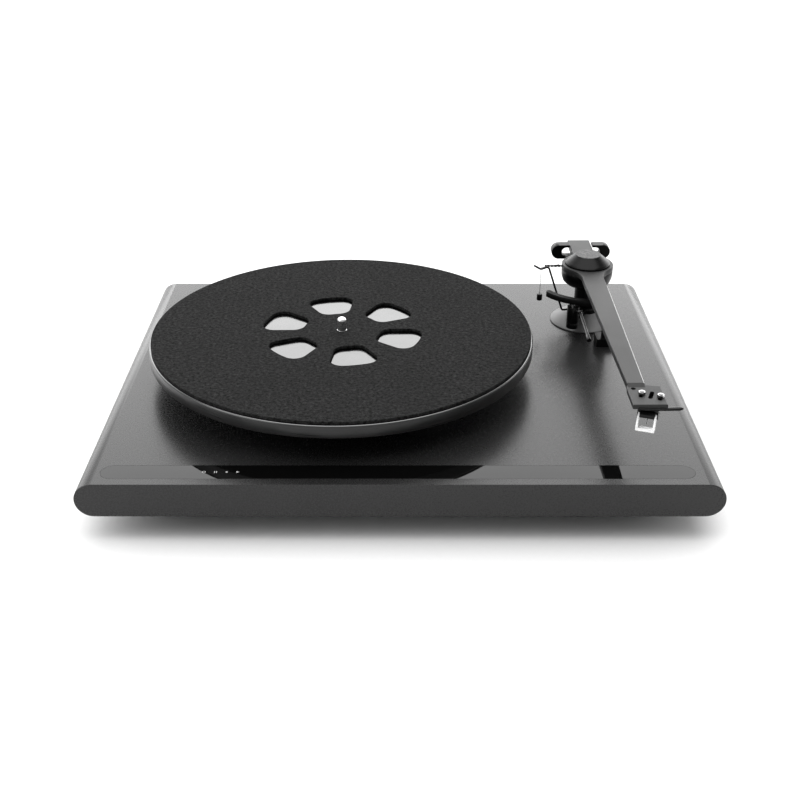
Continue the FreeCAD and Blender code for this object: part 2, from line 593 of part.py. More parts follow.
def make_motor():
    """A flat motor hung from the plinth's ceiling on two rubber grommets."""
    plate_top = f"({CEILING} - grommet)"
    plate_low = f"({plate_top} - motor_plate)"
    body = plate("motor_plate", "-motor_plate_length / 2", "motor_plate_length / 2",
                 "-motor_plate_width / 2", "motor_plate_width / 2", plate_low, plate_top)
    holes = new_sketch(body, "XY_Plane", plate_top)
    circle(holes, "0", "0", "motor_boss")
    for side in (-1, 1):
        circle(holes, f"{side} * grommet_x", "0", "screw_radius")
    pocket(body, holes, "motor_plate")
    drop(body, "motor_x", "motor_y")
    turned("motor_can", [
        ("motor_shaft_radius + running_gap", f"{plate_low} - motor_length"),
        ("motor_radius", f"{plate_low} - motor_length"), ("motor_radius", plate_low),
        ("motor_boss", plate_low), ("motor_boss", f"{plate_low} + motor_boss_height"),
        ("motor_shaft_radius + running_gap", f"{plate_low} + motor_boss_height")], "motor_x", "motor_y")
    grommets = []
    for side in (-1, 1):
        spot = f"motor_x + {side} * grommet_x"
        grommet = doc.addObject("Part::Cut", f"grommet_{side + 1}")
        point = Vector(value(spot), value("motor_y"), value(plate_top))
        grommet.Base = rod(f"grommet_body_{side + 1}", point, UP, "grommet_radius", "grommet")
        grommet.Tool = rod(f"grommet_hole_{side + 1}", point, UP, "screw_radius", "grommet")
        grommets.append(grommet)
        SCREWS.append(screw(f"motor_screw_{side + 1}", spot, "motor_y", plate_low,
                            "motor_plate + grommet"))
    group("motor_grommets", grommets)


def make_pulley():
    top = "(pulley_bottom + pulley_height)"
    shaft_low = f"{CEILING} - grommet - motor_plate - motor_length + shaft_inset"
    turned("motor_shaft", [
        ("0", shaft_low), ("motor_shaft_radius", shaft_low), ("motor_shaft_radius", top), ("0", top)],
        "motor_x", "motor_y")
    turned("motor_pulley", [
        ("motor_shaft_radius", "pulley_bottom"), ("pulley_flange", "pulley_bottom"),
        ("pulley_flange", "pulley_bottom + pulley_flange_thick"),
        ("pulley_radius", "pulley_bottom + pulley_flange_thick"),
        ("pulley_radius", f"{top} - pulley_flange_thick"), ("pulley_flange", f"{top} - pulley_flange_thick"),
        ("pulley_flange", top), ("motor_shaft_radius", top)], "motor_x", "motor_y")


def belt_loop(big_radius, small_radius, distance):
    """The loop round two circles on the X axis: two outer tangents and two arcs."""
    lean = math.acos((big_radius - small_radius) / distance)
    points = []
    for radius, centre in ((big_radius, 0), (small_radius, distance)):
        for side in (1, -1):
            points.append(Vector(centre + radius * math.cos(lean), side * radius * math.sin(lean), 0))
    big_up, big_down, small_up, small_down = points
    edges = [
        Part.LineSegment(big_up, small_up).toShape(),
        Part.Arc(small_up, Vector(distance + small_radius, 0, 0), small_down).toShape(),
        Part.LineSegment(small_down, big_down).toShape(),
        Part.Arc(big_down, Vector(-big_radius, 0, 0), big_up).toShape()]
    return Part.Face(Part.Wire(edges))


def make_belt():
    """A flat loop on the sub-platter's rim and the pulley, just clear of both."""
    reach = Vector(value("motor_x - spindle_x"), value("motor_y - spindle_y"), 0)
    gap, thick = value("belt_gap"), value("belt_thick")
    radii = [value("rotor_radius") + gap, value("pulley_radius") + gap]
    inner = belt_loop(radii[0], radii[1], reach.Length)
    outer = belt_loop(radii[0] + thick, radii[1] + thick, reach.Length)
    belt = subpart(doc.addObject("Part::Feature", "drive_belt"))
    belt.Shape = outer.cut(inner).extrude(UP * value("belt_width"))
    drop(belt, "spindle_x", "spindle_y", "belt_bottom", Rotation(Vector(1, 0, 0), reach))


# --- boards and rear connectors -----------------------------------------------------------------

def board(label, x, y, length, width, top):
    """A bare circuit board, its upper face at top."""
    piece = doc.addObject("Part::Box", label)
    piece.setExpression("Length", linked(length))
    piece.setExpression("Width", linked(width))
    piece.setExpression("Height", "Sizes.board_thick")
    return drop(piece, f"{x} - {length} / 2", f"{y} - {width} / 2", f"{top} - board_thick")


def make_boards():
    """The motor's and the output's boards on spacers under the ceiling; the keys' board under the strip."""
    top = f"({CEILING} - board_drop)"
    boards = [board("touch_board", "touch_x", STRIP_Y, "(touch_length - 2)", "(touch_width - 2)",
                    f"({PLINTH_TOP} - strip_thick)")]
    spacers = []
    for kind in ("board", "phono"):
        x, y, length, width = (f"{kind}_{size}" for size in ("x", "y", "length", "width"))
        boards.append(board(f"{kind}_circuit", x, y, length, width, top))
        for sx, sy in ((-1, -1), (1, -1), (1, 1), (-1, 1)):
            spot = Vector(value(f"{x} + {sx} * ({length} / 2 - board_hole_inset)"),
                          value(f"{y} + {sy} * ({width} / 2 - board_hole_inset)"), value(top))
            spacers.append(rod("spacer", spot, UP, "spacer_radius", "board_drop"))
    group("circuit_boards", boards)
    group("board_spacers", spacers)


def rear_place():
    """Rear pieces are turned about an axis that points out of the rear face."""
    return Rotation(UP, Vector(0, 1, 0))


def make_rear_panel():
    body = new_body("rear_panel")
    sketch = new_sketch(body, "XZ_Plane", f"-{PANEL_Y}")
    rectangle(sketch, "rear_x - rear_length / 2", "rear_x + rear_length / 2",
              f"{REAR_Z} - rear_height / 2", f"{REAR_Z} + rear_height / 2")
    pad(body, sketch, "rear_panel")
    holes = new_sketch(body, "XZ_Plane", f"-{PANEL_Y}")
    for index in range(2):
        circle(holes, f"rear_x + rca_first + {index} * rca_pitch", REAR_Z, "rca_radius")
    circle(holes, "rear_x + ground_at", REAR_Z, "ground_radius")
    circle(holes, "rear_x + power_at", REAR_Z, "power_radius")
    rectangle(holes, "rear_x + switch_at - switch_slot_length / 2",
              "rear_x + switch_at + switch_slot_length / 2",
              f"{REAR_Z} - switch_slot_height / 2", f"{REAR_Z} + switch_slot_height / 2")
    pocket(body, holes, "rear_panel", backwards=True)


def make_connectors():
    """The two output sockets, the ground post with its nut, and the power socket."""
    tail = "(-rear_panel - rear_tail)"
    liner = "(rca_bore + rca_liner)"
    lip = "(rca_length - rca_core_inset)"
    sleeves = []
    cores = []
    for index in range(2):
        spot = f"rear_x + rca_first + {index} * rca_pitch"
        sleeve = turned(f"rca_sleeve_{index}", [
            (liner, tail), ("rca_radius", tail), ("rca_radius", "0"),
            ("rca_flange_radius", "0"), ("rca_flange_radius", "rca_flange"), ("rca_radius", "rca_flange"),
            ("rca_radius", "rca_length"), (liner, "rca_length")])
        core = turned(f"rca_core_{index}", [
            ("0", tail), (liner, tail), (liner, lip), ("rca_bore", lip), ("rca_bore", "rca_floor"),
            ("0", "rca_floor")])
        for piece, kept in ((sleeve, sleeves), (core, cores)):
            SUBPARTS.remove(piece)
            kept.append(drop(piece, spot, PANEL_Y, REAR_Z, rear_place()))
    group("rca_sleeves", sleeves)
    group("rca_insulators", cores)
    post = turned("ground_post", [
        ("0", tail), ("ground_radius", tail), ("ground_radius", "ground_length"), ("0", "ground_length")])
    drop(post, "rear_x + ground_at", PANEL_Y, REAR_Z, rear_place())
    bore = "ground_radius + running_gap"
    nut = turned("ground_nut", [
        (bore, "ground_nut_stand"), ("ground_nut_radius", "ground_nut_stand"),
        ("ground_nut_radius", "ground_nut_stand + ground_nut"), (bore, "ground_nut_stand + ground_nut")])
    around = 2 * math.pi * value("ground_nut_radius")
    dress(nut, "Chamfer", "plinth_edge", lambda edge: abs(edge.Length - around) < 0.01)
    drop(nut, "rear_x + ground_at", PANEL_Y, REAR_Z, rear_place())
    mouth = "(power_length - rear_panel)"
    pin_end = f"({mouth} - power_pin_inset)"
    power = turned("power_socket", [
        ("0", tail), ("power_radius", tail), ("power_radius", mouth), ("power_bore", mouth),
        ("power_bore", "-rear_panel"), ("power_pin", "-rear_panel"), ("power_pin", pin_end), ("0", pin_end)])
    drop(power, "rear_x + power_at", PANEL_Y, REAR_Z, rear_place())


def make_output_switch():
    """A small slide switch behind the panel, its knob standing out through a slot."""
    front = f"({PANEL_Y} - rear_panel)"
    body = new_body("switch_body")
    sketch = new_sketch(body, "XZ_Plane", f"-{front}")
    rectangle(sketch, "rear_x + switch_at - switch_length / 2", "rear_x + switch_at + switch_length / 2",
              f"{REAR_Z} - switch_height / 2", f"{REAR_Z} + switch_height / 2")
    pad(body, sketch, "switch_body")
    knob = new_body("switch_knob")
    left = "rear_x + switch_at - switch_travel / 2 - switch_knob / 2"
    sketch = new_sketch(knob, "XZ_Plane", f"-({front} + switch_play)")
    rectangle(sketch, left, f"{left} + switch_knob", f"{REAR_Z} - switch_knob_height / 2",
              f"{REAR_Z} + switch_knob_height / 2")
    pad(knob, sketch, "rear_panel + switch_knob_out", backwards=True)


# --- tonearm base, rest and cue lift ------------------------------------------------------------

def pivot_place(turn=0.0):
    """The frame on the plinth's top under the tonearm's pivot, turned about Z in degrees."""
    base = Vector(value("pivot_x"), value("pivot_y"), value(PLINTH_TOP))
    return Placement(base, Rotation(UP, turn))


def arm_place():
    return pivot_place(value("arm_yaw"))


def carry(piece, frame):
    """Move a piece that was made in a frame's own coordinates to where that frame lies."""
    piece.Placement = frame * piece.Placement
    return piece


def make_arm_base():
    base = turned("arm_base", [
        ("column_radius", "0"), ("base_radius", "0"), ("base_radius", "base_lip"),
        ("base_radius - 0.6", "base_lip + 0.6"), ("base_top_radius + 4", "base_rise - 2.6"),
        ("base_top_radius", "base_rise"), ("column_radius", "base_rise")])
    carry(base, pivot_place())
    column = turned("arm_column", [
        ("0", "-top_wall - nut_thick - 1"), ("stud_radius", "-top_wall - nut_thick - 1"),
        ("stud_radius", "0"), ("column_radius", "0"), ("column_radius", "column_top - 1.5"),
        ("column_radius - 1.5", "column_top"), ("bearing_shaft_radius", "column_top"),
        ("bearing_shaft_radius", "bearing_shaft_top"), ("0", "bearing_shaft_top")])
    carry(column, pivot_place())
    nut = new_body("arm_base_nut")
    sketch = new_sketch(nut, "XY_Plane", "-top_wall")
    corners = []
    for step in range(6):
        corners.append((f"nut_radius * cos({60 * step} deg)", f"nut_radius * sin({60 * step} deg)"))
    outline(sketch, corners)
    circle(sketch, "0", "0", "stud_radius")
    pad(nut, sketch, "nut_thick", backwards=True)
    carry(nut, pivot_place())


def make_arm_rest():
    """A block on the plinth with a post, and an angled shelf beside the arm's keel."""
    top = PLINTH_TOP
    block = plate("rest_block", "rest_x - rest_block / 2", "rest_x + rest_block / 2",
                  "rest_y - rest_block / 2", "rest_y + rest_block / 2", top,
                  f"{top} + rest_block_height", "shell_corner")
    shelf_low = "(rest_shelf_top - rest_shelf)"
    foot = Vector(value("rest_x"), value("rest_y"), value(f"{top} + rest_block_height"))
    post = rod("rest_post", foot, UP, "rest_post_radius", f"{shelf_low} - rest_block_height")
    body = new_body("rest_shelf")
    SUBPARTS.remove(block)
    SUBPARTS.remove(body)
    sketch = new_sketch(body, "XZ_Plane", "-rest_y")
    outline(sketch, [
        ("rest_shelf_left", f"{top} + {shelf_low}"), ("rest_shelf_right", f"{top} + {shelf_low}"),
        ("rest_shelf_right", f"{top} + rest_shelf_top"),
        ("rest_stop_left + rest_stop", f"{top} + rest_shelf_top"),
        ("rest_stop_left + rest_stop", f"{top} + rest_stop_top"), ("rest_stop_left", f"{top} + rest_stop_top"),
        ("rest_stop_left", f"{top} + rest_shelf_top"), ("rest_shelf_left", f"{top} + rest_shelf_top")])
    pad(body, sketch, "rest_shelf_depth", midplane=True)
    joined = subpart(doc.addObject("Part::MultiFuse", "arm_rest"))
    joined.Shapes = [block, post, body]


def lift_place():
    return pivot_place(-value("lift_angle"))


def make_lift():
    """The bracket clamped round the column, the lift's cylinder, its rod and curved cradle."""
    low, high = "base_rise", "(base_rise + bracket_thick)"
    body = new_body("lift_bracket")
    ring = new_sketch(body, "XY_Plane", low)
    circle(ring, "0", "0", "collar_radius")
    pad(body, ring, "bracket_thick")
    bar = new_sketch(body, "XY_Plane", low)
    rectangle(bar, "-lift_bar_width / 2", "lift_bar_width / 2", "-lift_reach", "0")
    pad(body, bar, "bracket_thick")
    end = new_sketch(body, "XY_Plane", low)
    circle(end, "0", "-lift_reach", "lift_body_radius")
    pad(body, end, "bracket_thick")
    hole = new_sketch(body, "XY_Plane", high)
    circle(hole, "0", "0", "column_radius")
    pocket(body, hole, "bracket_thick")
    carry(body, lift_place())

    barrel = new_body("lift_barrel")
    SUBPARTS.remove(barrel)
    revolve(barrel, [
        ("lift_rod_radius + running_gap", high), ("lift_body_radius", high),
        ("lift_body_radius", "lift_body_top"), ("lift_rod_radius + running_gap", "lift_body_top")])
    hinge = Vector(value("lift_body_radius / 4"), -value("lever_forward"), value("lever_axis"))
    pivot = rod("lever_pivot", hinge, Vector(1, 0, 0), "lever_pin_radius",
                "lever_pin_end - lift_body_radius / 4")
    cylinder = subpart(doc.addObject("Part::Fuse", "lift_cylinder"))
    cylinder.Base = barrel
    cylinder.Tool = pivot
    to_lift = Placement(Vector(0, -value("lift_reach"), 0), Rotation())
    cylinder.Placement = lift_place() * to_lift

    rod_body = new_body("lift_rod")
    revolve(rod_body, [("0", "lift_rod_bottom"), ("lift_rod_radius", "lift_rod_bottom"),
                       ("lift_rod_radius", "cradle_bottom"), ("0", "cradle_bottom")])
    rod_body.Placement = lift_place() * to_lift

    cradle = new_body("lift_cradle")
    inner, outer = "lift_reach - cradle_half", "lift_reach + cradle_half"
    revolve(cradle, [(inner, "cradle_bottom"), (outer, "cradle_bottom"), (outer, "cradle_top"),
                     (inner, "cradle_top")], "cradle_to - cradle_from")
    dress(cradle, "Fillet", "cradle_round", is_upright)
    carry(cradle, pivot_place(-90 - value("cradle_to")))


def lever_place():
    """The lever's frame: origin on its hinge, across the lever is +X, the lever points to -Y."""
    to_lift = Placement(Vector(0, -value("lift_reach"), 0), Rotation())
    level = lift_place() * to_lift
    hinge = Placement(Vector(0, -value("lever_forward"), value("lever_axis")), Rotation())
    return level * hinge


def make_lever():
    middle = value("lever_hub_from + lever_hub_width / 2")
    hub = doc.addObject("Part::Cylinder", "lever_hub")
    hub.setExpression("Radius", "Sizes.lever_hub_radius")
    hub.setExpression("Height", "Sizes.lever_hub_width")
    hub.Placement = Placement(Vector(value("lever_hub_from"), 0, 0), Rotation(UP, Vector(1, 0, 0)))
    droop = math.radians(value("lever_droop"))
    swing = math.radians(value("lever_turn"))
    heading = Vector(math.sin(swing) * math.cos(droop), -math.cos(swing) * math.cos(droop), -math.sin(droop))
    stem = rod("lever_stem", Vector(middle, 0, 0), heading, "lever_radius", "lever_length")
    knob_start = Vector(middle, 0, 0) + heading * value("lever_length - lever_knob")
    knob = rod("lever_knob_bar", knob_start, heading, "lever_knob_radius", "lever_knob")
    solid = doc.addObject("Part::MultiFuse", "lever_solid")
    solid.Shapes = [hub, stem, knob]
    bore = rod("lever_bore", Vector(), Vector(1, 0, 0), "lever_pin_radius + running_gap",
               "lever_hub_from + lever_hub_width + 3")
    lever = subpart(doc.addObject("Part::Cut", "cue_lever"))
    lever.Base = solid
    lever.Tool = bore
    lever.Placement = lever_place()


# --- tonearm ------------------------------------------------------------------------------------

def make_bearing_yoke():
    yoke = new_body("bearing_yoke")
    bore = "bearing_shaft_radius + running_gap"
    revolve(yoke, [
        (bore, "yoke_bottom"), ("yoke_radius", "yoke_bottom"), ("yoke_radius", "yoke_top"), ("0", "yoke_top"),
        ("0", "yoke_top - yoke_roof"), (bore, "yoke_top - yoke_roof")])
    for side in (-1, 1):
        hole = new_sketch(yoke, "YZ_Plane", f"{side} * yoke_radius")
        circle(hole, "0", "pin_axis", "pin_radius + running_gap")
        pocket(yoke, hole, "yoke_radius - pin_depth", backwards=side < 0)
    carry(yoke, arm_place())
    pins = []
    for side in (-1, 1):
        start = Vector(side * value("pin_reach"), 0, value("pin_axis"))
        pins.append(rod(f"bearing_pin_{side + 1}", start, Vector(side, 0, 0), "pin_radius",
                        "pin_end - pin_reach"))
    carry(group("bearing_pins", pins), arm_place())


def make_bell():
    """The black bell under the arm's head, hollow round the bearing and open at its mouth."""
    bell = new_body("bearing_bell")
    revolve(bell, [
        ("bell_mouth", "bell_bottom"), ("head_radius - 4.6", "bell_bottom + 0.9"),
        ("head_radius - 1.8", "bell_bottom + 3.4"), ("head_radius - 0.4", "bell_bottom + 7"),
        ("head_radius", "bell_bottom + 10.6"), ("head_radius", "arm_bottom"), ("bell_bore", "arm_bottom"),
        ("bell_bore", "bell_bottom + 3.6"), ("bell_mouth", "bell_bottom + 2.2")])
    hole = new_sketch(bell, "XZ_Plane")
    circle(hole, "0", "pin_axis", "pin_radius")
    pocket(bell, hole, "3 * head_radius", midplane=True)
    carry(bell, arm_place() * Placement(Vector(), Rotation(UP, 90)))
    dome = new_body("arm_dome")
    revolve(dome, [
        ("0", "arm_top"), ("dome_radius", "arm_top"), ("dome_radius", "arm_top + dome_rim"),
        ("dome_top_radius + dome_break", "arm_top + dome_rise - dome_break"),
        ("dome_top_radius", "arm_top + dome_rise"), ("0", "arm_top + dome_rise")])
    carry(dome, arm_place())


def make_armtube():
    """One flat arm: rear stub, round head, tapered beam with a keel under it."""
    arm = new_body("armtube")
    head = new_sketch(arm, "XY_Plane", "arm_bottom")
    circle(head, "0", "0", "head_radius")
    pad(arm, head, "arm_top - arm_bottom")
    beam = new_sketch(arm, "XY_Plane", "arm_bottom")
    outline(beam, [
        ("-stub_half", "stub_end"), ("-stub_half", "0"), ("-neck_half", "-head_radius / 2"),
        ("-neck_half", "-neck_reach"), ("-tube_half", "-tube_end"), ("tube_half", "-tube_end"),
        ("neck_half", "-neck_reach"), ("neck_half", "-head_radius / 2"), ("stub_half", "0"),
        ("stub_half", "stub_end")])
    pad(arm, beam, "arm_top - arm_bottom")
    front_neck = value("head_radius")
    dress(arm, "Fillet", "neck_round",
          lambda edge: is_upright(edge) and -front_neck < edge.Vertexes[0].Point.y < -5
          and abs(edge.Vertexes[0].Point.x) < value("neck_half") + 0.01)
    top = value("arm_top")
    dress(arm, "Chamfer", "arm_edge", lambda edge: is_level(edge, top))
    keel = new_sketch(arm, "YZ_Plane")
    outline(keel, [
        ("-keel_start", "arm_bottom"), ("-keel_start - 1.5", "keel_bottom + 1.5"),
        ("-keel_start - 5", "keel_bottom"), ("-keel_front", "keel_bottom"), ("-keel_tip", "arm_bottom")])
    pad(arm, keel, "2 * keel_half", midplane=True)
    carry(arm, arm_place())


def mount_frame():
    """Where the cartridge's frame lies in the arm's own frame."""
    spot = Vector(value("mount_across"), -value("mount_reach"), 0)
    return Placement(spot, Rotation(UP, -value("slot_turn")))


def cartridge_place():
    return arm_place() * mount_frame()


def make_headshell():
    """The offset plate at the arm's end, with three slanted slots and a hole for the leads."""
    shell = new_body("headshell")
    low = "arm_bottom"
    sketch = new_sketch(shell, "XY_Plane", low)
    outline(sketch, [
        ("shell_left", "-shell_start - 5"), ("-tube_half", "-shell_start"), ("tube_half", "-shell_start"),
        ("shell_right", "-shell_start - 2"), ("shell_right", "-shell_end"), ("shell_left", "-shell_end")])
    pad(shell, sketch, "shell_thick")
    top = value("arm_bottom + shell_thick")
    dress(shell, "Chamfer", "arm_edge", lambda edge: is_level(edge, top))
    slots = shell.newObject("Sketcher::SketchObject", "headshell_slots")
    plane = [item for item in shell.Origin.OriginFeatures if item.Role == "XY_Plane"][0]
    slots.AttachmentSupport = [(plane, "")]
    slots.MapMode = "FlatFace"
    frame = mount_frame()
    slots.AttachmentOffset = Placement(frame.Base + UP * top, Rotation(UP, 90 - value("slot_turn")))
    for step in (-1, 0, 1):
        stadium(slots, "0", f"{step} * slot_pitch / 2", "slot_length", "slot_width")
    pocket(shell, slots, "shell_thick")
    hole = new_sketch(shell, "XY_Plane", f"{low} + shell_thick")
    circle(hole, "lead_hole_x", "-lead_hole_y", "lead_hole")
    pocket(shell, hole, "shell_thick")
    carry(shell, arm_place())
    blade = plate("finger_lift", "shell_left + 3", "shell_right + lift_blade_out",
                  "-shell_end - lift_blade_front", "-shell_end - lift_blade_front + lift_blade_depth",
                  "arm_bottom - lift_blade", "arm_bottom")
    carry(blade, arm_place())


def make_counterweight():
    """A bar-shaped ring under and round the rear stub, open above it, with a clamp pad."""
    weight = new_body("counterweight")
    ring = new_sketch(weight, "XZ_Plane", "-weight_at")
    stadium(ring, "0", "weight_middle", "weight_length", "weight_height")
    pad(weight, ring, "weight_depth", midplane=True)
    slot = new_sketch(weight, "XZ_Plane", "-weight_at")
    stadium(slot, "0", "weight_middle", "weight_slot_length", "weight_slot_height")
    pocket(weight, slot, "weight_depth", midplane=True)
    notch = new_sketch(weight, "XZ_Plane", "-weight_at")
    rectangle(notch, "-stub_half - weight_gap", "stub_half + weight_gap", "weight_middle",
              "weight_middle + weight_height")
    pocket(weight, notch, "weight_depth", midplane=True)
    screw_hole = new_sketch(weight, "XY_Plane", "weight_middle")
    circle(screw_hole, "0", "weight_at", "clamp_screw_radius")
    pocket(weight, screw_hole, "weight_height")
    carry(weight, arm_place())
    floor = "(weight_middle - weight_slot_height / 2)"
    cushion = plate("clamp_cushion", "-clamp_half", "clamp_half", "weight_at - weight_depth / 2",
                    "weight_at + weight_depth / 2", floor, "arm_bottom - clamp_gap")
    SUBPARTS.remove(cushion)
    start = Vector(0, value("weight_at"), value("weight_middle - weight_height / 2"))
    length = "(weight_height - weight_slot_height) / 2"
    clamp = subpart(doc.addObject("Part::Fuse", "counterweight_clamp"))
    clamp.Base = cushion
    clamp.Tool = rod("clamp_screw", start, UP, "clamp_screw_radius", length)
    carry(clamp, arm_place())


# --- anti-skate ---------------------------------------------------------------------------------

def skate_rod():
    """A grooved rod standing out of the arm's head to its left."""
    corners = [("0", "skate_start"), ("skate_radius", "skate_start")]
    for step in range(5):
        at = f"skate_groove_first + {step} * skate_groove_pitch"
        deep = "skate_radius - skate_groove"
        corners += [("skate_radius", f"{at} - 0.7"), (deep, f"{at} - 0.4"), (deep, f"{at} + 0.4"),
                    ("skate_radius", f"{at} + 0.7")]
    corners += [("skate_radius", "skate_end"), ("0", "skate_end")]
    body = new_body("skate_rod")
    revolve(body, corners)
    body.Placement = arm_place() * Placement(Vector(0, 0, value("skate_height")), Rotation(UP, Vector(-1, 0, 0)))


def above_plinth(x, y, rise):
    return Vector(x, y, value(PLINTH_TOP) + rise)


def make_skate():
    """The fixed hanger with a V for the thread, the thread's two runs and its weight."""
    pivot_x, fork_x = value("pivot_x"), value("pivot_x - hanger_left")
    root_y, fork_y = value("pivot_y - hanger_front"), value("pivot_y - hanger_front - hanger_bow")
    root_rise = value("base_rise + bracket_thick / 2")
    dip, ends = value("skate_height - hanger_dip"), value("skate_height + hanger_ends")
    subpart(bent_wire("skate_hanger", [
        above_plinth(pivot_x - value("hanger_root"), root_y, root_rise),
        above_plinth(pivot_x - value("hanger_knee"), fork_y, root_rise),
        above_plinth(fork_x + value("hanger_arm"), fork_y, ends),
        above_plinth(fork_x, root_y, dip),
        above_plinth(fork_x - value("hanger_arm"), root_y, ends)], "wire_radius", "wire_bend"))
    drop_y = root_y - value("wire_radius + thread_radius + thread_gap")
    saddle = above_plinth(fork_x, drop_y, value("skate_height + thread_rise"))
    weight_top = above_plinth(fork_x, drop_y, value("skate_weight_bottom + skate_weight_height"))
    shoulder, edge = "(skate_weight_radius - skate_weight_edge)", "skate_weight_edge"
    weight = turned("skate_weight", [
        ("0", "-skate_weight_height"), (shoulder, "-skate_weight_height"),
        ("skate_weight_radius", f"-skate_weight_height + {edge}"), ("skate_weight_radius", f"-{edge}"),
        (shoulder, "0"), ("0", "0")])
    weight.Placement.Base = weight_top
    subpart(rod("thread_drop", weight_top, UP, "thread_radius",
                "skate_height + thread_rise - skate_weight_bottom - skate_weight_height"))
    tie = arm_place().multVec(Vector(-value("skate_thread_at"), 0, value("skate_height")))
    tie += UP * value("skate_radius + thread_radius")
    start = saddle + UP * value("thread_radius")
    run = doc.addObject("Part::Cylinder", "thread_run")
    run.setExpression("Radius", "Sizes.thread_radius")
    run.Height = (tie - start).Length
    run.Placement = Placement(start, Rotation(UP, tie - start))
    subpart(run)


# --- cartridge ----------------------------------------------------------------------------------

def make_cartridge():
    body = new_body("cartridge")
    top = "arm_bottom"
    flange = new_sketch(body, "XY_Plane", f"{top} - flange_thick")
    rectangle(flange, "-flange_half", "flange_half", "-flange_front", "flange_back")
    pad(body, flange, "flange_thick")
    block = new_sketch(body, "YZ_Plane")
    outline(block, [
        ("body_back", top), ("-body_front + body_brow", top), ("-body_front", f"{top} - body_brow"),
        ("-body_front", "body_bottom + body_chin"), ("-body_front + body_chin", "body_bottom"),
        ("body_back - body_heel", "body_bottom"), ("body_back", "body_bottom + body_heel")])
    pad(body, block, "2 * body_half", midplane=True)
    screws = new_sketch(body, "XY_Plane", top)
    for side in (-1, 1):
        circle(screws, f"{side} * slot_pitch / 2", "0", "mount_screw_radius")
    pocket(body, screws, f"{top} - mount_screw_end")
    terminals = new_sketch(body, "XZ_Plane", "-body_back")
    for x, z in terminal_spots():
        circle(terminals, x, z, "pin_terminal_radius")
    pocket(body, terminals, "pin_terminal_root", backwards=True)
    body.Placement = cartridge_place()


def terminal_spots():
    spots = []
    for sx in (-1, 1):
        for sz in (-1, 1):
            spots.append((f"{sx} * pin_pitch_x / 2", f"pin_height + {sz} * pin_pitch_z / 2"))
    return spots


def make_cartridge_hardware():
    terminals = []
    for index, (x, z) in enumerate(terminal_spots()):
        start = Vector(value(x), value("body_back - pin_terminal_root"), value(z))
        terminals.append(rod(f"terminal_{index}", start, Vector(0, 1, 0), "pin_terminal_radius",
                             "pin_terminal_length"))
    group("cartridge_pins", terminals).Placement = cartridge_place()
    screws = []
    nuts = []
    for side in (-1, 1):
        foot = Vector(side * value("slot_pitch / 2"), 0, value("mount_screw_end"))
        top = value("arm_bottom + shell_thick")
        screws.append(rod(f"mount_screw_{side + 1}", foot, UP, "mount_screw_radius",
                          "arm_bottom + shell_thick + mount_nut + mount_screw_stand - mount_screw_end"))
        nut = doc.addObject("Part::Prism", f"mount_nut_{side + 1}")
        nut.Polygon = 6
        nut.setExpression("Circumradius", "Sizes.mount_nut_radius")
        nut.setExpression("Height", "Sizes.mount_nut")
        nut.Placement = Placement(Vector(foot.x, 0, top), Rotation(UP, side * value("mount_nut_turn")))
        hole = rod(f"mount_nut_hole_{side + 1}", foot, UP, "mount_screw_radius", "3 * slot_pitch")
        cut = doc.addObject("Part::Cut", f"mount_nut_cut_{side + 1}")
        cut.Base = nut
        cut.Tool = hole
        nuts.append(cut)
    group("cartridge_screws", screws).Placement = cartridge_place()
    group("cartridge_nuts", nuts).Placement = cartridge_place()


def make_stylus():
    """The plug-in stylus block, its cantilever with the tip, and the clear guard round them."""
    block = new_body("stylus_block")
    side = new_sketch(block, "YZ_Plane")
    outline(side, [
        ("-body_front", "stylus_top"), ("-stylus_front + stylus_slope", "stylus_top"),
        ("-stylus_front", "stylus_top - stylus_slope"), ("-stylus_front", "stylus_bottom + stylus_chin"),
        ("-body_front", "stylus_bottom + body_chin")])
    pad(block, side, "2 * stylus_half", midplane=True)
    block.Placement = cartridge_place()
    root = Vector(0, -value("cantilever_root"), value("body_bottom"))
    tip_top = Vector(0, -value("tip_forward"), value("tip_height + tip_length"))
    beam = doc.addObject("Part::Cylinder", "cantilever_beam")
    beam.setExpression("Radius", "Sizes.cantilever_radius")
    beam.Height = (tip_top - root).Length + value("cantilever_tail")
    beam.Placement = Placement(root, Rotation(UP, tip_top - root))
    tip = doc.addObject("Part::Cone", "stylus_tip")
    tip.setExpression("Radius1", "Sizes.tip_point")
    tip.setExpression("Radius2", "Sizes.tip_radius")
    tip.setExpression("Height", "Sizes.tip_length")
    tip.Placement.Base = Vector(0, -value("tip_forward"), value("tip_height"))
    joined = subpart(doc.addObject("Part::Fuse", "cantilever"))
    joined.Base = beam
    joined.Tool = tip
    joined.Placement = cartridge_place()
    make_guard()


def make_guard():
    guard = new_body("stylus_guard")
    side = new_sketch(guard, "YZ_Plane")
    outline(side, [
        ("-guard_back", "guard_top"), ("-guard_back - guard_top_depth", "guard_top"),
        ("-guard_front", "guard_bottom + guard_lip"), ("-guard_front", "guard_bottom"),
        ("-guard_back - guard_floor_depth", "guard_bottom"), ("-guard_back", "guard_top - guard_heel")])
    pad(guard, side, "2 * guard_half", midplane=True)
    hollow = new_sketch(guard, "XY_Plane", "guard_top")
    inside = "(guard_half - guard_wall)"
    rectangle(hollow, f"-{inside}", inside, "-guard_front + guard_wall", "0")
    pocket(guard, hollow, "guard_top - guard_bottom - guard_wall")
    guard.Placement = cartridge_place()


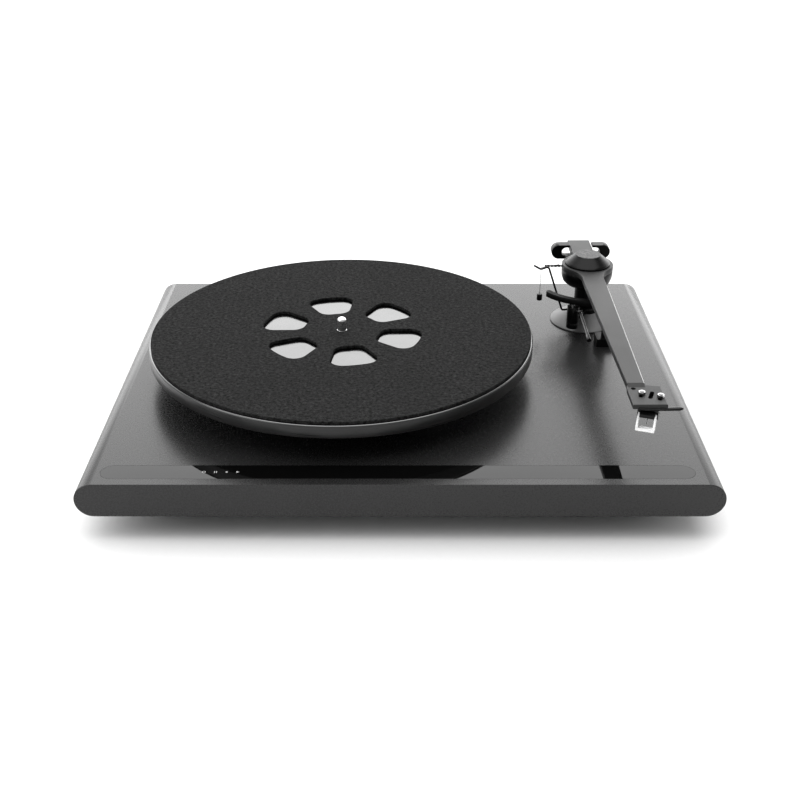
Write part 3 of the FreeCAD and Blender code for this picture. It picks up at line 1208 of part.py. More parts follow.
def make_leads():
    """Four thin leads from the hole in the headshell, down and back to the cartridge's pins."""
    hole = arm_place().multVec(Vector(value("lead_hole_x"), -value("lead_hole_y"), value("arm_bottom")))
    reach = value("body_back + pin_terminal_length - pin_terminal_root")
    out = cartridge_place().Rotation.multVec(Vector(0, 1, 0))
    spread = value("lead_spread")
    leads = []
    for index, (x, z) in enumerate(terminal_spots()):
        end = cartridge_place().multVec(Vector(value(x), reach, value(z)))
        aside = Vector(spread if index > 1 else -spread, spread if index % 2 else -spread, 0)
        start = hole + aside + UP * value("lead_inset")
        knee = Vector(start.x, start.y, end.z + value("lead_drop"))
        before = end + out * value("lead_straight")
        leads.append(bent_wire(f"lead_{index}", [start, knee, before, end], "lead_radius", "lead_radius"))
    group("head_leads", leads)


# --- build, check, write ------------------------------------------------------------------------

def build():
    make_plinth()
    make_bottom_cover()
    make_feet()
    make_control_strip()
    make_bearing()
    make_spindle()
    make_rotating_parts()
    make_mat()
    make_motor()
    make_pulley()
    make_belt()
    make_boards()
    make_rear_panel()
    make_connectors()
    make_output_switch()
    make_arm_base()
    make_arm_rest()
    make_lift()
    make_lever()
    make_bearing_yoke()
    make_bell()
    make_armtube()
    make_headshell()
    make_counterweight()
    skate_rod()
    make_skate()
    make_cartridge()
    make_cartridge_hardware()
    make_stylus()
    make_leads()
    group("case_screws", SCREWS)
    doc.recompute()


def check():
    for item in doc.Objects:
        if "Invalid" in item.State or "Error" in item.State:
            raise ValueError(f"{item.Label} did not compute")
    for piece in SUBPARTS:
        if piece.Shape.isNull() or not piece.Shape.isValid() or not piece.Shape.Solids:
            raise ValueError(f"{piece.Label} is not a valid solid")


def write():
    os.makedirs("parts", exist_ok=True)
    for piece in SUBPARTS:
        piece.Shape.exportStep(f"parts/{piece.Label}.step")
        box = piece.Shape.BoundBox
        print(f"{piece.Label:22s} solids {len(piece.Shape.Solids)}  volume {piece.Shape.Volume:12.2f}"
              f"  x {box.XMin:8.2f} {box.XMax:8.2f}  y {box.YMin:8.2f} {box.YMax:8.2f}"
              f"  z {box.ZMin:7.2f} {box.ZMax:7.2f}")


build()
check()
write()
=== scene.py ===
import math
import bmesh
import bpy
from mathutils import Matrix, Vector


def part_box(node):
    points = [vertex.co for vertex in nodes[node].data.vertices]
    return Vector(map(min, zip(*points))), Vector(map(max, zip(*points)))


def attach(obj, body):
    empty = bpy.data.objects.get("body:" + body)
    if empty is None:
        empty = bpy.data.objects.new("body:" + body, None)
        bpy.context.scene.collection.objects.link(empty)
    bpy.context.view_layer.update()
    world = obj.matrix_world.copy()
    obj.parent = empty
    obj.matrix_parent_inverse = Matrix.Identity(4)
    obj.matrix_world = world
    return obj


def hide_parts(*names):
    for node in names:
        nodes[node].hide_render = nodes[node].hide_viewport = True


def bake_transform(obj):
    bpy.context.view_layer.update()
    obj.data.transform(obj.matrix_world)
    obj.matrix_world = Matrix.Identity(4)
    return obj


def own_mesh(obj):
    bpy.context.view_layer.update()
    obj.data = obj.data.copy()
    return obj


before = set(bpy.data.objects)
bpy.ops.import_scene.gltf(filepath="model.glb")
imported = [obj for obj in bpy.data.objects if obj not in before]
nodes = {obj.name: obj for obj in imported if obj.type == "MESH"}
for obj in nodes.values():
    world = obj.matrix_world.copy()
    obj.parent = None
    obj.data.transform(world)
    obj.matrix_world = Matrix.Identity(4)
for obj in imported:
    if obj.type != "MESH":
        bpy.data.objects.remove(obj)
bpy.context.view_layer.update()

MM = 0.001
FULL_TURN = 2 * math.pi


# --- boxes and centres -------------------------------------------------------------------

def low(node):
    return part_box(node)[0]


def high(node):
    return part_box(node)[1]


def centre(node):
    return (low(node) + high(node)) / 2


PIVOT = centre("arm_column")
PLINTH_TOP = high("plinth").z
PLATTER_TOP = high("platter").z
DOME_TOP = high("arm_dome").z


# --- node trees --------------------------------------------------------------------------

# A noise texture's values lie mostly between these two.
NOISE_LOW, NOISE_HIGH = 0.3, 0.7


def grey(level):
    return (level, level, level)


class Tree:
    """A node tree with a few short makers."""

    def __init__(self, tree):
        self.tree = tree

    def add(self, kind, **values):
        node = self.tree.nodes.new(kind)
        for key, value in values.items():
            setattr(node, key, value)
        return node

    def link(self, out, into):
        self.tree.links.new(out, into)

    def ranged(self, value, low_in, high_in, low_out, high_out, kind="LINEAR"):
        node = self.add("ShaderNodeMapRange", interpolation_type=kind)
        for key, number in (("From Min", low_in), ("From Max", high_in),
                            ("To Min", low_out), ("To Max", high_out)):
            node.inputs[key].default_value = number
        self.link(value, node.inputs["Value"])
        return node.outputs["Result"]

    def spread(self, noise, low_out, high_out):
        """A noise's usual values, stretched between two numbers."""
        return self.ranged(noise, NOISE_LOW, NOISE_HIGH, low_out, high_out)

    def calculate(self, kind, first, second):
        node = self.add("ShaderNodeMath", operation=kind)
        self.link(first, node.inputs[0])
        self.link(second, node.inputs[1])
        return node.outputs[0]

    def split(self, vector):
        node = self.add("ShaderNodeSeparateXYZ")
        self.link(vector, node.inputs[0])
        return node.outputs


class Graph(Tree):
    """The procedural material of one slot, in object coordinates (metres)."""

    def __init__(self, slot):
        self.slot = slot
        self.material = bpy.data.materials.new(f"look_{slot}")
        self.material.use_nodes = True
        super().__init__(self.material.node_tree)
        self.shader = self.tree.nodes["Principled BSDF"]
        self.place = self.add("ShaderNodeTexCoord").outputs["Object"]

    def stretched(self, scale, turn=(0, 0, 0)):
        mapping = self.add("ShaderNodeMapping")
        mapping.inputs["Scale"].default_value = scale
        mapping.inputs["Rotation"].default_value = turn
        self.link(self.place, mapping.inputs["Vector"])
        return mapping.outputs["Vector"]

    def noise(self, size, detail, rough, vector=None):
        """A noise whose patches are about size metres across."""
        node = self.add("ShaderNodeTexNoise")
        node.inputs["Scale"].default_value = 1 / size
        node.inputs["Detail"].default_value = detail
        node.inputs["Roughness"].default_value = rough
        self.link(vector or self.place, node.inputs["Vector"])
        return node.outputs["Fac"]

    def mix(self, factor, first, second):
        node = self.add("ShaderNodeMix", data_type="RGBA")
        self.link(factor, node.inputs[0])
        for index, item in ((6, first), (7, second)):
            if isinstance(item, tuple):
                node.inputs[index].default_value = (*item, 1)
            else:
                self.link(item, node.inputs[index])
        return node.outputs[2]

    def mix_numbers(self, factor, first, second):
        node = self.add("ShaderNodeMix", data_type="FLOAT")
        for index, item in ((0, factor), (2, first), (3, second)):
            self.link(item, node.inputs[index])
        return node.outputs[0]

    def bump(self, height, depth, strength=1.0, below=None):
        node = self.add("ShaderNodeBump")
        node.inputs["Distance"].default_value = depth
        node.inputs["Strength"].default_value = strength
        self.link(height, node.inputs["Height"])
        if below is not None:
            self.link(below, node.inputs["Normal"])
        return node.outputs["Normal"]

    def connect(self, tone, roughness, normal):
        self.link(tone, self.shader.inputs["Base Color"])
        self.link(roughness, self.shader.inputs["Roughness"])
        self.link(normal, self.shader.inputs["Normal"])

    def set(self, **values):
        for key, value in values.items():
            self.shader.inputs[key.replace("_", " ")].default_value = value


# --- materials ---------------------------------------------------------------------------

def finish(slot, tone, rough, metal=0.0, vary=0.25, grain=0.0006, depth=0.00002, streak=None,
           gleam=0.5):
    """Fine grain and soft patches in the tone and the gloss, over a shallow relief."""
    swing = 0.08
    g = Graph(slot)
    shade = tone if isinstance(tone, tuple) else grey(tone)
    fine = g.noise(grain, 4, 0.6, g.stretched(streak) if streak else None)
    broad = g.noise(0.03, 2, 0.5)
    dark = tuple(part * (1 - vary) for part in shade)
    light = tuple(min(1.0, part * (1 + vary)) for part in shade)
    gloss = g.calculate("ADD", g.spread(fine, rough - swing / 2, rough + swing / 2),
                        g.spread(broad, -swing / 3, swing / 3))
    g.connect(g.mix(g.spread(fine, 0, 1), dark, light), gloss, g.bump(fine, depth))
    g.set(Metallic=metal, Specular_IOR_Level=gleam)
    return g


def felt():
    """Black felt: matted fibres, tufts, soft patches and a few pale flecks."""
    g = Graph("mat_felt")
    fibre = g.noise(0.0024, 8, 0.78)
    tuft = g.noise(0.0035, 3, 0.6)
    patch = g.noise(0.05, 2, 0.5)
    flecks = g.noise(0.0011, 1, 0.5, g.stretched((1.0, 2.6, 1.0), (0, 0, 0.6)))
    tone = g.mix(g.ranged(fibre, 0.38, 0.64, 0, 1), grey(0.0002), grey(0.056))
    tone = g.mix(g.ranged(tuft, 0.3, 0.75, 0.0, 0.5), tone, grey(0.004))
    tone = g.mix(g.spread(patch, 0.0, 0.25), tone, grey(0.012))
    tone = g.mix(g.ranged(flecks, 0.70, 0.76, 0, 0.8), tone, grey(0.07))
    relief = g.bump(fibre, 0.0008, below=g.bump(tuft, 0.0004, 0.6))
    g.connect(tone, g.spread(fibre, 0.88, 1.0), relief)
    g.set(Sheen_Weight=0.02, Sheen_Roughness=0.4, Specular_IOR_Level=0.1)
    return g


def platter_metal():
    """A polished grey top, seen in the mat's windows, and a dark rim with turning lines."""
    g = Graph("platter_glass")
    height = g.split(g.place)[2]
    top = g.ranged(height, PLATTER_TOP - 0.9 * MM, PLATTER_TOP - 0.2 * MM, 0, 1)
    lines = g.noise(0.0009, 3, 0.6, g.stretched((0.02, 0.02, 1.0)))
    patch = g.noise(0.02, 2, 0.5)
    rim = g.mix(g.spread(lines, 0, 1), grey(0.012), grey(0.026))
    face = g.mix(g.spread(patch, 0, 1), grey(0.155), grey(0.175))
    satin, polish = g.spread(lines, 0.26, 0.38), g.spread(patch, 0.12, 0.2)
    g.connect(g.mix(top, rim, face), g.mix_numbers(top, satin, polish),
              g.bump(lines, 0.00001, 0.5))
    g.link(top, g.shader.inputs["Metallic"])
    return g


def lacquer():
    """Dark satin lacquer: a very fine orange peel, faint dust and hardly visible clouds."""
    g = Graph("plinth_lacquer")
    peel = g.noise(0.0011, 3, 0.5)
    cloud = g.noise(0.08, 3, 0.5)
    dust = g.noise(0.0016, 1, 0.5)
    tone = g.mix(g.spread(cloud, 0, 1), grey(0.017), grey(0.022))
    tone = g.mix(g.ranged(dust, 0.82, 0.88, 0, 0.25), tone, grey(0.10))
    gloss = g.calculate("ADD", g.spread(peel, 0.25, 0.31), g.spread(cloud, -0.015, 0.015))
    g.connect(tone, gloss, g.bump(peel, 0.000003, 0.4))
    return g


def strip_glass():
    """Glossy black glass with faint smears and a little dust."""
    g = Graph("strip_glass")
    smear = g.noise(0.02, 4, 0.6, g.stretched((1.0, 3.0, 1.0)))
    dust = g.noise(0.0012, 1, 0.5)
    tone = g.mix(g.ranged(dust, 0.80, 0.86, 0, 0.4), grey(0.004), grey(0.08))
    g.connect(tone, g.spread(smear, 0.02, 0.055), g.bump(smear, 0.000004, 0.3))
    return g


def guard_plastic():
    """Milky white plastic with a fine haze."""
    g = Graph("guard_clear")
    haze = g.noise(0.002, 3, 0.6)
    tone = g.mix(g.spread(haze, 0, 1), grey(0.8556), grey(0.93))
    g.connect(tone, g.spread(haze, 0.21, 0.39), g.bump(haze, 0.00001, 0.4))
    g.set(IOR=1.49)
    return g


def circuit():
    """Green board with a raised net of traces."""
    g = Graph("circuit_board")
    cells = g.add("ShaderNodeTexVoronoi", feature="DISTANCE_TO_EDGE")
    cells.inputs["Scale"].default_value = 260
    g.link(g.place, cells.inputs["Vector"])
    traces = g.ranged(cells.outputs["Distance"], 0.03, 0.06, 1, 0)
    board = g.mix(g.noise(0.004, 3, 0.5), (0.006, 0.030, 0.014), (0.010, 0.050, 0.022))
    g.connect(g.mix(traces, board, (0.02, 0.09, 0.04)), g.ranged(traces, 0, 1, 0.42, 0.3),
              g.bump(traces, 0.00003, 0.6))
    return g


def dome():
    """A coarsely speckled grey top disc over turned sides painted near black as shade."""
    g = Graph("dome_grey")
    disc = g.ranged(g.split(g.place)[2], DOME_TOP - 0.5 * MM, DOME_TOP - 0.2 * MM, 0, 1)
    speck = g.noise(0.0016, 4, 0.7)
    lines = g.noise(0.0008, 3, 0.6, g.stretched((0.03, 0.03, 1.0)))
    # Painted shade: below the top disc the turned sides get a near-black tone, much darker than
    # the disc, for the shade on the cone.
    side = g.mix(g.spread(lines, 0, 1), grey(0.001), grey(0.003))
    face = g.mix(g.ranged(speck, 0.42, 0.6, 0, 1), grey(0.004), grey(0.07))
    gloss = g.calculate("ADD", g.ranged(disc, 0, 1, 0.24, 0.36), g.spread(lines, -0.04, 0.04))
    g.connect(g.mix(disc, side, face), gloss,
              g.bump(g.calculate("ADD", speck, lines), 0.000015))
    g.set(Specular_IOR_Level=0.25)
    return g


# Stretches that draw a grain out into lines round an upright axis, or along y.
ROUND_Z, ALONG_Y, BRUSHED_Y = (0.1, 0.1, 1), (1, 0.1, 1), (1, 0.06, 1)
BRONZE, GOLD = (0.42, 0.24, 0.10), (0.78, 0.53, 0.21)

GRAPHS = [
    lacquer(), felt(), dome(), platter_metal(), strip_glass(), circuit(), guard_plastic(),
    finish("cover_steel", 0.035, 0.45, vary=0.2, grain=0.0009, depth=0.00004),
    finish("foot_plastic", 0.018, 0.5, grain=0.0008, depth=0.00005),
    finish("foot_rubber", 0.012, 0.8, grain=0.0012, depth=0.00012),
    finish("screw_steel", 0.08, 0.35, metal=0.8, grain=0.0005),
    finish("spacer_nylon", 0.55, 0.5, vary=0.06),
    finish("bearing_steel", 0.52, 0.2, metal=1.0, vary=0.1, grain=0.0004, streak=ROUND_Z,
           depth=0.000006),
    finish("spindle_steel", 0.75, 0.28, metal=1.0, vary=0.1, grain=0.0003, streak=ROUND_Z,
           depth=0.000006),
    finish("bush_bronze", BRONZE, 0.35, metal=1.0, vary=0.15),
    finish("motor_plate_steel", 0.45, 0.35, metal=1.0, vary=0.12, streak=BRUSHED_Y),
    finish("motor_metal", 0.38, 0.4, metal=1.0, vary=0.15),
    finish("grommet_rubber", 0.012, 0.75, grain=0.001, depth=0.0001),
    finish("belt_rubber", 0.010, 0.6, grain=0.0007, depth=0.00005, streak=(0.3, 0.3, 1)),
    finish("panel_black", 0.014, 0.45, grain=0.0008, depth=0.00004),
    finish("connector_gold", GOLD, 0.22, metal=1.0, vary=0.08, grain=0.0004, streak=ALONG_Y),
    finish("connector_insulator", 0.35, 0.4, vary=0.08),
    finish("connector_black", 0.012, 0.4, depth=0.00003),
    finish("base_silver", 0.13, 0.42, metal=0.2, vary=0.06, grain=0.0005, depth=0.00001),
    finish("arm_black", 0.003, 0.30, gleam=0.3, vary=0.3),
    finish("rest_plastic", 0.003, 0.36, gleam=0.3, vary=0.3, depth=0.00003),
    finish("wire_black", 0.003, 0.32, gleam=0.3, grain=0.0004),
    finish("thread_nylon", 0.05, 0.5, grain=0.0003, depth=0.00004),
    finish("sub_platter_plastic", 0.016, 0.45, grain=0.0009, depth=0.00004),
    finish("pulley_alloy", 0.5, 0.3, metal=1.0, vary=0.1, streak=ROUND_Z),
    finish("arm_grey", 0.026, 0.40, gleam=0.28, vary=0.10, grain=0.0005, depth=0.000012),
    finish("cartridge_plastic", 0.003, 0.34, gleam=0.35, grain=0.0005, depth=0.00003),
    finish("stylus_plastic", 0.003, 0.4, gleam=0.3, grain=0.0005, depth=0.00003),
    finish("nut_steel", 0.42, 0.25, metal=1.0, vary=0.08, grain=0.0004),
    finish("lead_insulation", (0.03, 0.03, 0.032), 0.45, grain=0.0004),
    finish("weight_black", 0.002, 0.36, gleam=0.25, vary=0.3),
    finish("lever_chrome", 0.004, 0.22, vary=0.2, grain=0.0004),
    finish("cradle_rubber", 0.003, 0.5, gleam=0.3, grain=0.0008, depth=0.00006),
    finish("mark_ink", 0.42, 0.5, vary=0.08, grain=0.0003, depth=0.000005),
    # Painted highlight: a bright metal tone for the thin strip that stands in for the highlight
    # on the arm tube's chamfer.
    finish("painted_highlight_strip", 0.62, 0.28, metal=1.0, vary=0.08, grain=0.0005, depth=0.000004),
]
MATERIALS = {g.slot: g.material for g in GRAPHS}


def dress(obj, look):
    obj.data.materials.clear()
    obj.data.materials.append(MATERIALS[look])


# --- edges of the CAD nodes --------------------------------------------------------------

# How far each node's sharp edges are rounded, in mm.
EDGES = {
    "plinth": 0.25, "platter": 0.35, "control_strip": 0.2, "mat": 0.4, "bottom_cover": 0.3,
    "feet": 0.4, "foot_pads": 0.4, "rear_panel": 0.15, "rca_sleeves": 0.25,
    "power_socket": 0.2, "switch_knob": 0.25, "ground_post": 0.2,
    "arm_base": 0.25, "arm_column": 0.2, "bearing_bell": 0.25, "arm_dome": 0.2,
    "armtube": 0.3, "headshell": 0.25, "cartridge": 0.25, "cartridge_nuts": 0.2,
    "stylus_block": 0.25,
    "counterweight": 0.5, "counterweight_clamp": 0.3, "skate_weight": 0.25,
    "arm_rest": 0.3, "lift_bracket": 0.3, "lift_cylinder": 0.25, "lift_cradle": 0.4,
    "cue_lever": 0.2,
}
WELD_GAP = 0.002 * MM


def add_bevel(obj, width, angle, segments):
    bevel = obj.modifiers.new("edges", "BEVEL")
    bevel.limit_method = "ANGLE"
    bevel.angle_limit = math.radians(angle)
    bevel.width = width
    bevel.segments = segments
    return bevel


def soften(obj, width):
    """Joins the mesh's split corners and rounds its sharp edges a little."""
    weld = obj.modifiers.new("weld", "WELD")
    weld.merge_threshold = WELD_GAP
    add_bevel(obj, width * MM, 35, 2).harden_normals = True


for name, obj in nodes.items():
    dress(obj, obj.data.materials[0].name)
    if name in EDGES:
        soften(obj, EDGES[name])


# --- mesh makers -------------------------------------------------------------------------

def new_piece(name, mesh_maker, body, slot, look=None, smooth=False):
    """A new mesh on a body; its look is its slot's unless another is named."""
    mesh = bpy.data.meshes.new(name)
    bm = bmesh.new()
    mesh_maker(bm)
    bmesh.ops.recalc_face_normals(bm, faces=bm.faces)
    bm.to_mesh(mesh)
    bm.free()
    obj = bpy.data.objects.new(name, mesh)
    bpy.context.scene.collection.objects.link(obj)
    for face in mesh.polygons:
        face.use_smooth = smooth
    dress(obj, look or slot)
    if body:
        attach(obj, body)
    return obj


def ring(spot, across, up, radius, count):
    """Points round a centre; the radius is a number, or a function of the turn."""
    points = []
    for i in range(count):
        turn = FULL_TURN * i / count
        reach = radius(turn) if callable(radius) else radius
        points.append(spot + (across * math.cos(turn) + up * math.sin(turn)) * reach)
    return points


def loft(bm, rings, closed=False):
    """Joins rings of points into a capped tube, or into a closed loop of rings."""
    rows = [[bm.verts.new(point) for point in points] for points in rings]
    pairs = list(zip(rows, rows[1:]))
    if closed:
        pairs.append((rows[-1], rows[0]))
    count = len(rows[0])
    for first, second in pairs:
        for i in range(count):
            j = (i + 1) % count
            bm.faces.new((first[i], first[j], second[j], second[i]))
    if not closed:
        bm.faces.new(list(reversed(rows[0])))
        bm.faces.new(rows[-1])


def cross_axes(along):
    """Two directions square to a given one and to each other."""
    side = along.orthogonal().normalized()
    return side, along.cross(side)


# --- anti-skate threads ------------------------------------------------------------------

THREAD_RADIUS = 0.2 * MM


def twisted_thread(start, end, twists):
    """A fine straight two-ply thread."""
    steps, sides, ply = 48, 10, 0.18
    along = (end - start).normalized()
    side, up = cross_axes(along)

    def make(bm):
        rings = []
        for step in range(steps + 1):
            t = step / steps
            twist = twists * FULL_TURN * t
            rings.append(ring(start.lerp(end, t), side, up,
                              lambda turn: THREAD_RADIUS * (1 + ply * math.cos(2 * turn + twist)),
                              sides))
        loft(bm, rings)
    return make


def make_threads():
    inset = Vector((THREAD_RADIUS / 2, THREAD_RADIUS / 2, THREAD_RADIUS))
    start, end = low("thread_run") + inset, high("thread_run") - inset
    run = new_piece("thread_over", twisted_thread(start, end, 26), None, "thread_nylon",
                    smooth=True)
    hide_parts("thread_run")
    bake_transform(run)

    fall = centre("thread_drop")
    top = Vector((fall.x, fall.y, high("thread_drop").z))
    foot = Vector((fall.x, fall.y, low("thread_drop").z))
    drop = new_piece("thread_hanging", twisted_thread(foot, top, 34), "plinth",
                     "thread_nylon", smooth=True)
    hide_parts("thread_drop")
    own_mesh(drop)


# --- marks on the control strip ----------------------------------------------------------

MARK_THICK = 0.06 * MM
RING_X, BARS_X, DOT_X, ARROW_X = -133.5 * MM, -125.5 * MM, -117.9 * MM, -110.2 * MM
RING_RADIUS, RING_WIDTH, DOT_RADIUS = 1.3 * MM, 0.4 * MM, 0.8 * MM
MARK_HALF = 1.2 * MM
BAR_APART, BAR_HALF = 0.7 * MM, 0.3 * MM
ARROW_HALF = 1.1 * MM
X_AXIS, Y_AXIS, Z_AXIS = Vector((1, 0, 0)), Vector((0, 1, 0)), Vector((0, 0, 1))


def flat_shape(bm, outline, z):
    """A raised flat shape with the given outline."""
    lower = [bm.verts.new((x, y, z)) for x, y in outline]
    upper = [bm.verts.new((x, y, z + MARK_THICK)) for x, y in outline]
    bm.faces.new(list(reversed(lower)))
    bm.faces.new(upper)
    for i in range(len(outline)):
        j = (i + 1) % len(outline)
        bm.faces.new((lower[i], lower[j], upper[j], upper[i]))


def make_marks():
    """Four generic key marks: a ring, two bars, a dot and a small triangle."""
    y, z = centre("control_strip").y, high("control_strip").z

    def marks(bm):
        base, inner = Vector((RING_X, y, z)), RING_RADIUS - RING_WIDTH
        raised = base + Z_AXIS * MARK_THICK
        loft(bm, [ring(spot, X_AXIS, Y_AXIS, radius, 40)
                  for spot, radius in ((base, RING_RADIUS), (raised, RING_RADIUS),
                                       (raised, inner), (base, inner))], closed=True)
        for x in (BARS_X - BAR_APART, BARS_X + BAR_APART):
            flat_shape(bm, [(x - BAR_HALF, y - MARK_HALF), (x + BAR_HALF, y - MARK_HALF),
                            (x + BAR_HALF, y + MARK_HALF), (x - BAR_HALF, y + MARK_HALF)], z)
        dot = ring(Vector((DOT_X, y, z)), X_AXIS, Y_AXIS, DOT_RADIUS, 24)
        flat_shape(bm, [(point.x, point.y) for point in dot], z)
        flat_shape(bm, [(ARROW_X - ARROW_HALF, y - MARK_HALF), (ARROW_X + ARROW_HALF, y),
                        (ARROW_X - ARROW_HALF, y + MARK_HALF)], z)
    new_piece("strip_marks", marks, "plinth", "strip_glass", look="mark_ink")


# --- ground knob -------------------------------------------------------------------------

KNOB_FLUTES = 28
FLUTE_DEPTH = 0.18 * MM
# Each ring's place along the knob, its share of the radius, and its mean and swing of flute.
KNOB_RINGS = [
    (0.00, 0.86, 0.5, 0.0), (0.06, 0.97, 0.5, 0.0), (0.12, 1.00, 0.5, 0.5),
    (0.88, 1.00, 0.5, 0.5), (0.94, 0.97, 0.5, 0.0), (1.00, 0.86, 0.5, 0.0),
    (1.00, 0.52, 0.0, 0.0), (0.00, 0.52, 0.0, 0.0),
]


def make_ground_knob():
    """A turned knob with a hole through it and fine flutes round it."""
    size = high("ground_nut") - low("ground_nut")
    length, radius = size.y, max(size.x, size.z) / 2
    start = centre("ground_nut") - Y_AXIS * length / 2
    side, up = cross_axes(Y_AXIS)

    def make(bm):
        rings = []
        for t, share, mean, swing in KNOB_RINGS:
            rings.append(ring(
                start + Y_AXIS * length * t, side, up,
                lambda turn: radius * share
                - FLUTE_DEPTH * (mean - swing * math.cos(turn * KNOB_FLUTES)),
                KNOB_FLUTES * 4))
        loft(bm, rings, closed=True)
    knob = new_piece("ground_knob", make, "ground_nut", "connector_gold")
    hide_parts("ground_nut")


# --- pieces on the arm -------------------------------------------------------------------

# The arm's own frame (y back along the tube) and the cartridge's, turned at its front end.
ARM = Matrix.Translation((PIVOT.x, PIVOT.y, 0)) @ Matrix.Rotation(math.radians(0.6), 4, "Z")
HEAD_SPOT, HEAD_TURN = (7.7 * MM, -234 * MM, 0), math.radians(-20)
HEAD = ARM @ Matrix.Translation(HEAD_SPOT) @ Matrix.Rotation(HEAD_TURN, 4, "Z")


def prism(bm, profile, half, place, inner=None):
    """A profile in y and z, out to half on each side; with inner, two plates from there out."""
    spans = ((-half, half),) if inner is None else ((-half, -inner), (inner, half))
    for left, right in spans:
        rows = [[bm.verts.new(place @ Vector((x, y, z))) for y, z in profile]
                for x in (left, right)]
        bm.faces.new(rows[0])
        bm.faces.new(list(reversed(rows[1])))
        for i in range(len(profile)):
            j = (i + 1) % len(profile)
            bm.faces.new((rows[0][i], rows[1][i], rows[1][j], rows[0][j]))


GUARD_HALF, GUARD_INNER, LIP_HALF = 6.3 * MM, 5.0 * MM, 5.1 * MM
# Outlines as (y in the cartridge's frame, height over the plinth's top), in mm.
CHEEK = [(-9.3, 42), (-10.9, 42), (-17.5, 34.95), (-17.5, 31.95), (-11.8, 31.95), (-9.3, 38)]
LIP = [(-16, 33.8), (-17.5, 33.8), (-17.5, 31.95), (-11.8, 31.95), (-11.8, 33), (-16, 33)]


def make_guard():
    """The stylus guard as an open frame: two cheeks, a floor and a front lip."""
    def over_plinth(outline):
        return [(y * MM, PLINTH_TOP + z * MM) for y, z in outline]

    def make(bm):
        prism(bm, over_plinth(CHEEK), GUARD_HALF, HEAD, GUARD_INNER)
        prism(bm, over_plinth(LIP), LIP_HALF, HEAD)
    guard = new_piece("guard_frame", make, "stylus_guard", "guard_clear")
    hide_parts("stylus_guard")
    add_bevel(guard, 0.18 * MM, 30, 3)


def make_finger_lift():
    """A flattened blade that leaves the headshell's front edge and ends in a rounded tip."""
    lowest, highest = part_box("finger_lift")
    middle = (lowest.z + highest.z) / 2
    root = Vector((lowest.x + 1.0 * MM, lowest.y + 1.6 * MM, middle + 0.8 * MM))
    tip = Vector((highest.x - 0.6 * MM, highest.y - 1.2 * MM, middle + 0.6 * MM))
    dip, steps = 0.4 * MM, 24

    def make(bm):
        rings = []
        for step in range(steps + 1):
            t = step / steps
            spot = root.lerp(tip, t) - Z_AXIS * dip * math.sin(math.pi * t)
            rounding = min(1.0, (1 - t) * 9 + 0.25) ** 0.5
            wide = (1.4 + 0.6 * t) * MM * rounding
            tall = (0.8 + 0.4 * t) * MM * rounding
            rings.append(ring(spot, Y_AXIS * wide, Z_AXIS * tall, 1, 16))
        loft(bm, rings)
    blade = new_piece("finger_blade", make, "tonearm", "arm_black", smooth=True)
    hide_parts("finger_lift")


RAMP_START, RAMP_END, RAMP_HALF = -218.9 * MM, -222.4 * MM, 5.85 * MM


def make_shell_ramp():
    """A short slope that runs the tube's top face out into the headshell."""
    tube, shell = high("armtube").z, high("headshell").z
    sunk, lap = shell - 0.4 * MM, 0.02 * MM
    profile = [(RAMP_START, tube - lap), (RAMP_START, sunk), (RAMP_END, sunk),
               (RAMP_END, shell + lap)]
    new_piece("shell_ramp", lambda bm: prism(bm, profile, RAMP_HALF, ARM), "tonearm",
              "arm_grey")


def make_painted_highlight_strip():
    """A thin bright metal strip on the long right chamfer of the arm's tube, as a painted
    highlight.
    """
    top, drop, lift = high("armtube").z, 0.45 * MM, 0.03 * MM
    ends = ((-50.0 * MM, 8.25 * MM), (-218.6 * MM, 5.56 * MM))

    def make(bm):
        rings = []
        for y, x in ends:
            section = ((x, top), (x + drop, top - drop), (x + drop + lift, top - drop + lift),
                       (x + lift, top + lift))
            rings.append([ARM @ Vector((across, y, z)) for across, z in section])
        loft(bm, rings)
    new_piece("tube_painted_highlight", make, "tonearm", "arm_grey", look="painted_highlight_strip")


make_threads()
make_marks()
make_painted_highlight_strip()
make_ground_knob()
make_guard()
make_finger_lift()
make_shell_ramp()


# --- floor, light and camera -------------------------------------------------------------

FLOOR_HALF = 12
CAMERA_SPOT = (0, -0.8376, 0.4698)
CAMERA_TILT = math.radians(61.57)
CAMERA_LENS, CAMERA_SENSOR = 52.97, 36
# Strength of the light from the room's front, from behind, and from above.
ROOM_FRONT, ROOM_BEHIND, ROOM_ABOVE = 0.40, 2.7, 1.3


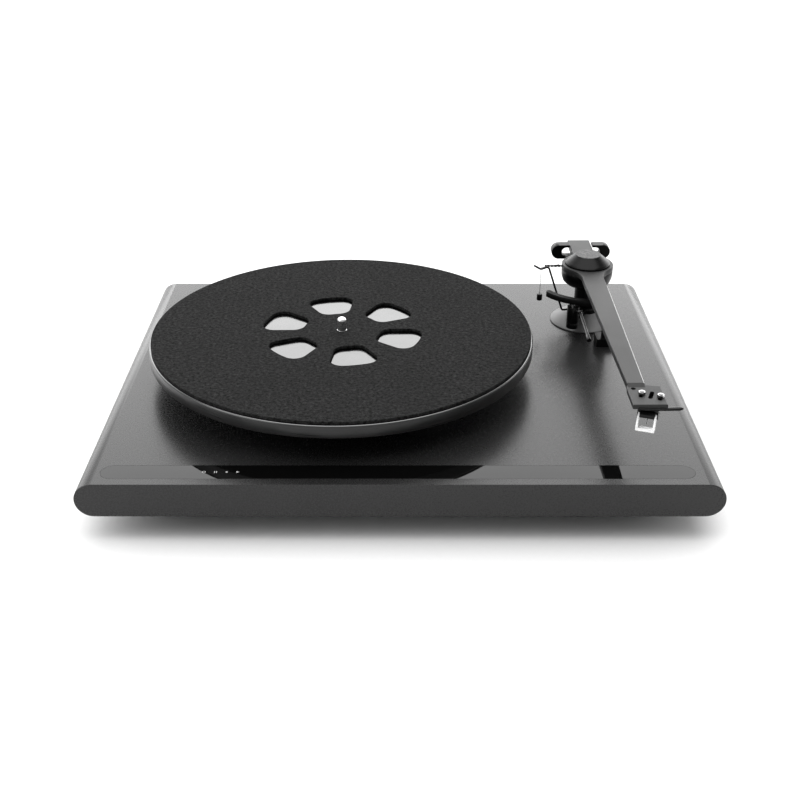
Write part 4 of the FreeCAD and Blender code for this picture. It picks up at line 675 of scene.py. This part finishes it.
def make_floor():
    mesh = bpy.data.meshes.new("floor")
    bm = bmesh.new()
    bmesh.ops.create_grid(bm, x_segments=2, y_segments=2, size=FLOOR_HALF)
    bm.to_mesh(mesh)
    bm.free()
    floor = bpy.data.objects.new("floor", mesh)
    bpy.context.scene.collection.objects.link(floor)
    paper = finish("floor_paper", 0.80, 0.9, vary=0.01, grain=0.004, gleam=0.0)
    floor.data.materials.append(paper.material)


def make_area_light(name, spot, target, size, power):
    data = bpy.data.lights.new(name, "AREA")
    data.size = size
    data.energy = power
    light = bpy.data.objects.new(name, data)
    light.location = spot
    aim = Vector(target) - Vector(spot)
    light.rotation_euler = aim.to_track_quat("-Z", "Y").to_euler()
    bpy.context.scene.collection.objects.link(light)


def make_world():
    """A white room, brighter behind the object near the horizon and right overhead."""
    world = bpy.data.worlds.new("studio")
    bpy.context.scene.world = world
    world.use_nodes = True
    room = Tree(world.node_tree)
    background = room.tree.nodes["Background"]
    direction = room.split(room.add("ShaderNodeTexCoord").outputs["Generated"])
    behind = room.ranged(direction[1], 0.1, 0.8, 0, 1, "SMOOTHSTEP")
    near_horizon = room.ranged(direction[2], 0.40, 0.72, 1.0, 0.36, "SMOOTHSTEP")
    overhead = room.ranged(direction[2], 0.72, 0.95, 0.0, ROOM_ABOVE, "SMOOTHSTEP")
    glow = room.calculate("MULTIPLY", behind, near_horizon)
    walls = room.ranged(glow, 0, 1, ROOM_FRONT, ROOM_BEHIND)
    room.link(room.calculate("ADD", walls, overhead), background.inputs["Strength"])
    background.inputs["Color"].default_value = (1, 1, 1, 1)


def make_camera():
    data = bpy.data.cameras.new("camera")
    data.lens = CAMERA_LENS
    data.sensor_width = CAMERA_SENSOR
    data.clip_start = 0.01
    data.clip_end = 100
    camera = bpy.data.objects.new("camera", data)
    camera.location = CAMERA_SPOT
    camera.rotation_euler = (CAMERA_TILT, 0, 0)
    bpy.context.scene.collection.objects.link(camera)
    bpy.context.scene.camera = camera


make_floor()
make_world()
make_area_light("top_bank", spot=(0, 0.25, 1.4), target=(0, 0, 0), size=2.0, power=10)
make_area_light("left_bank", spot=(-1.3, -0.6, 0.8), target=(0, 0, 0.05), size=1.2, power=9)
make_camera()
bpy.context.scene.view_settings.view_transform = "Standard"
bpy.context.scene.view_settings.look = "Medium High Contrast"
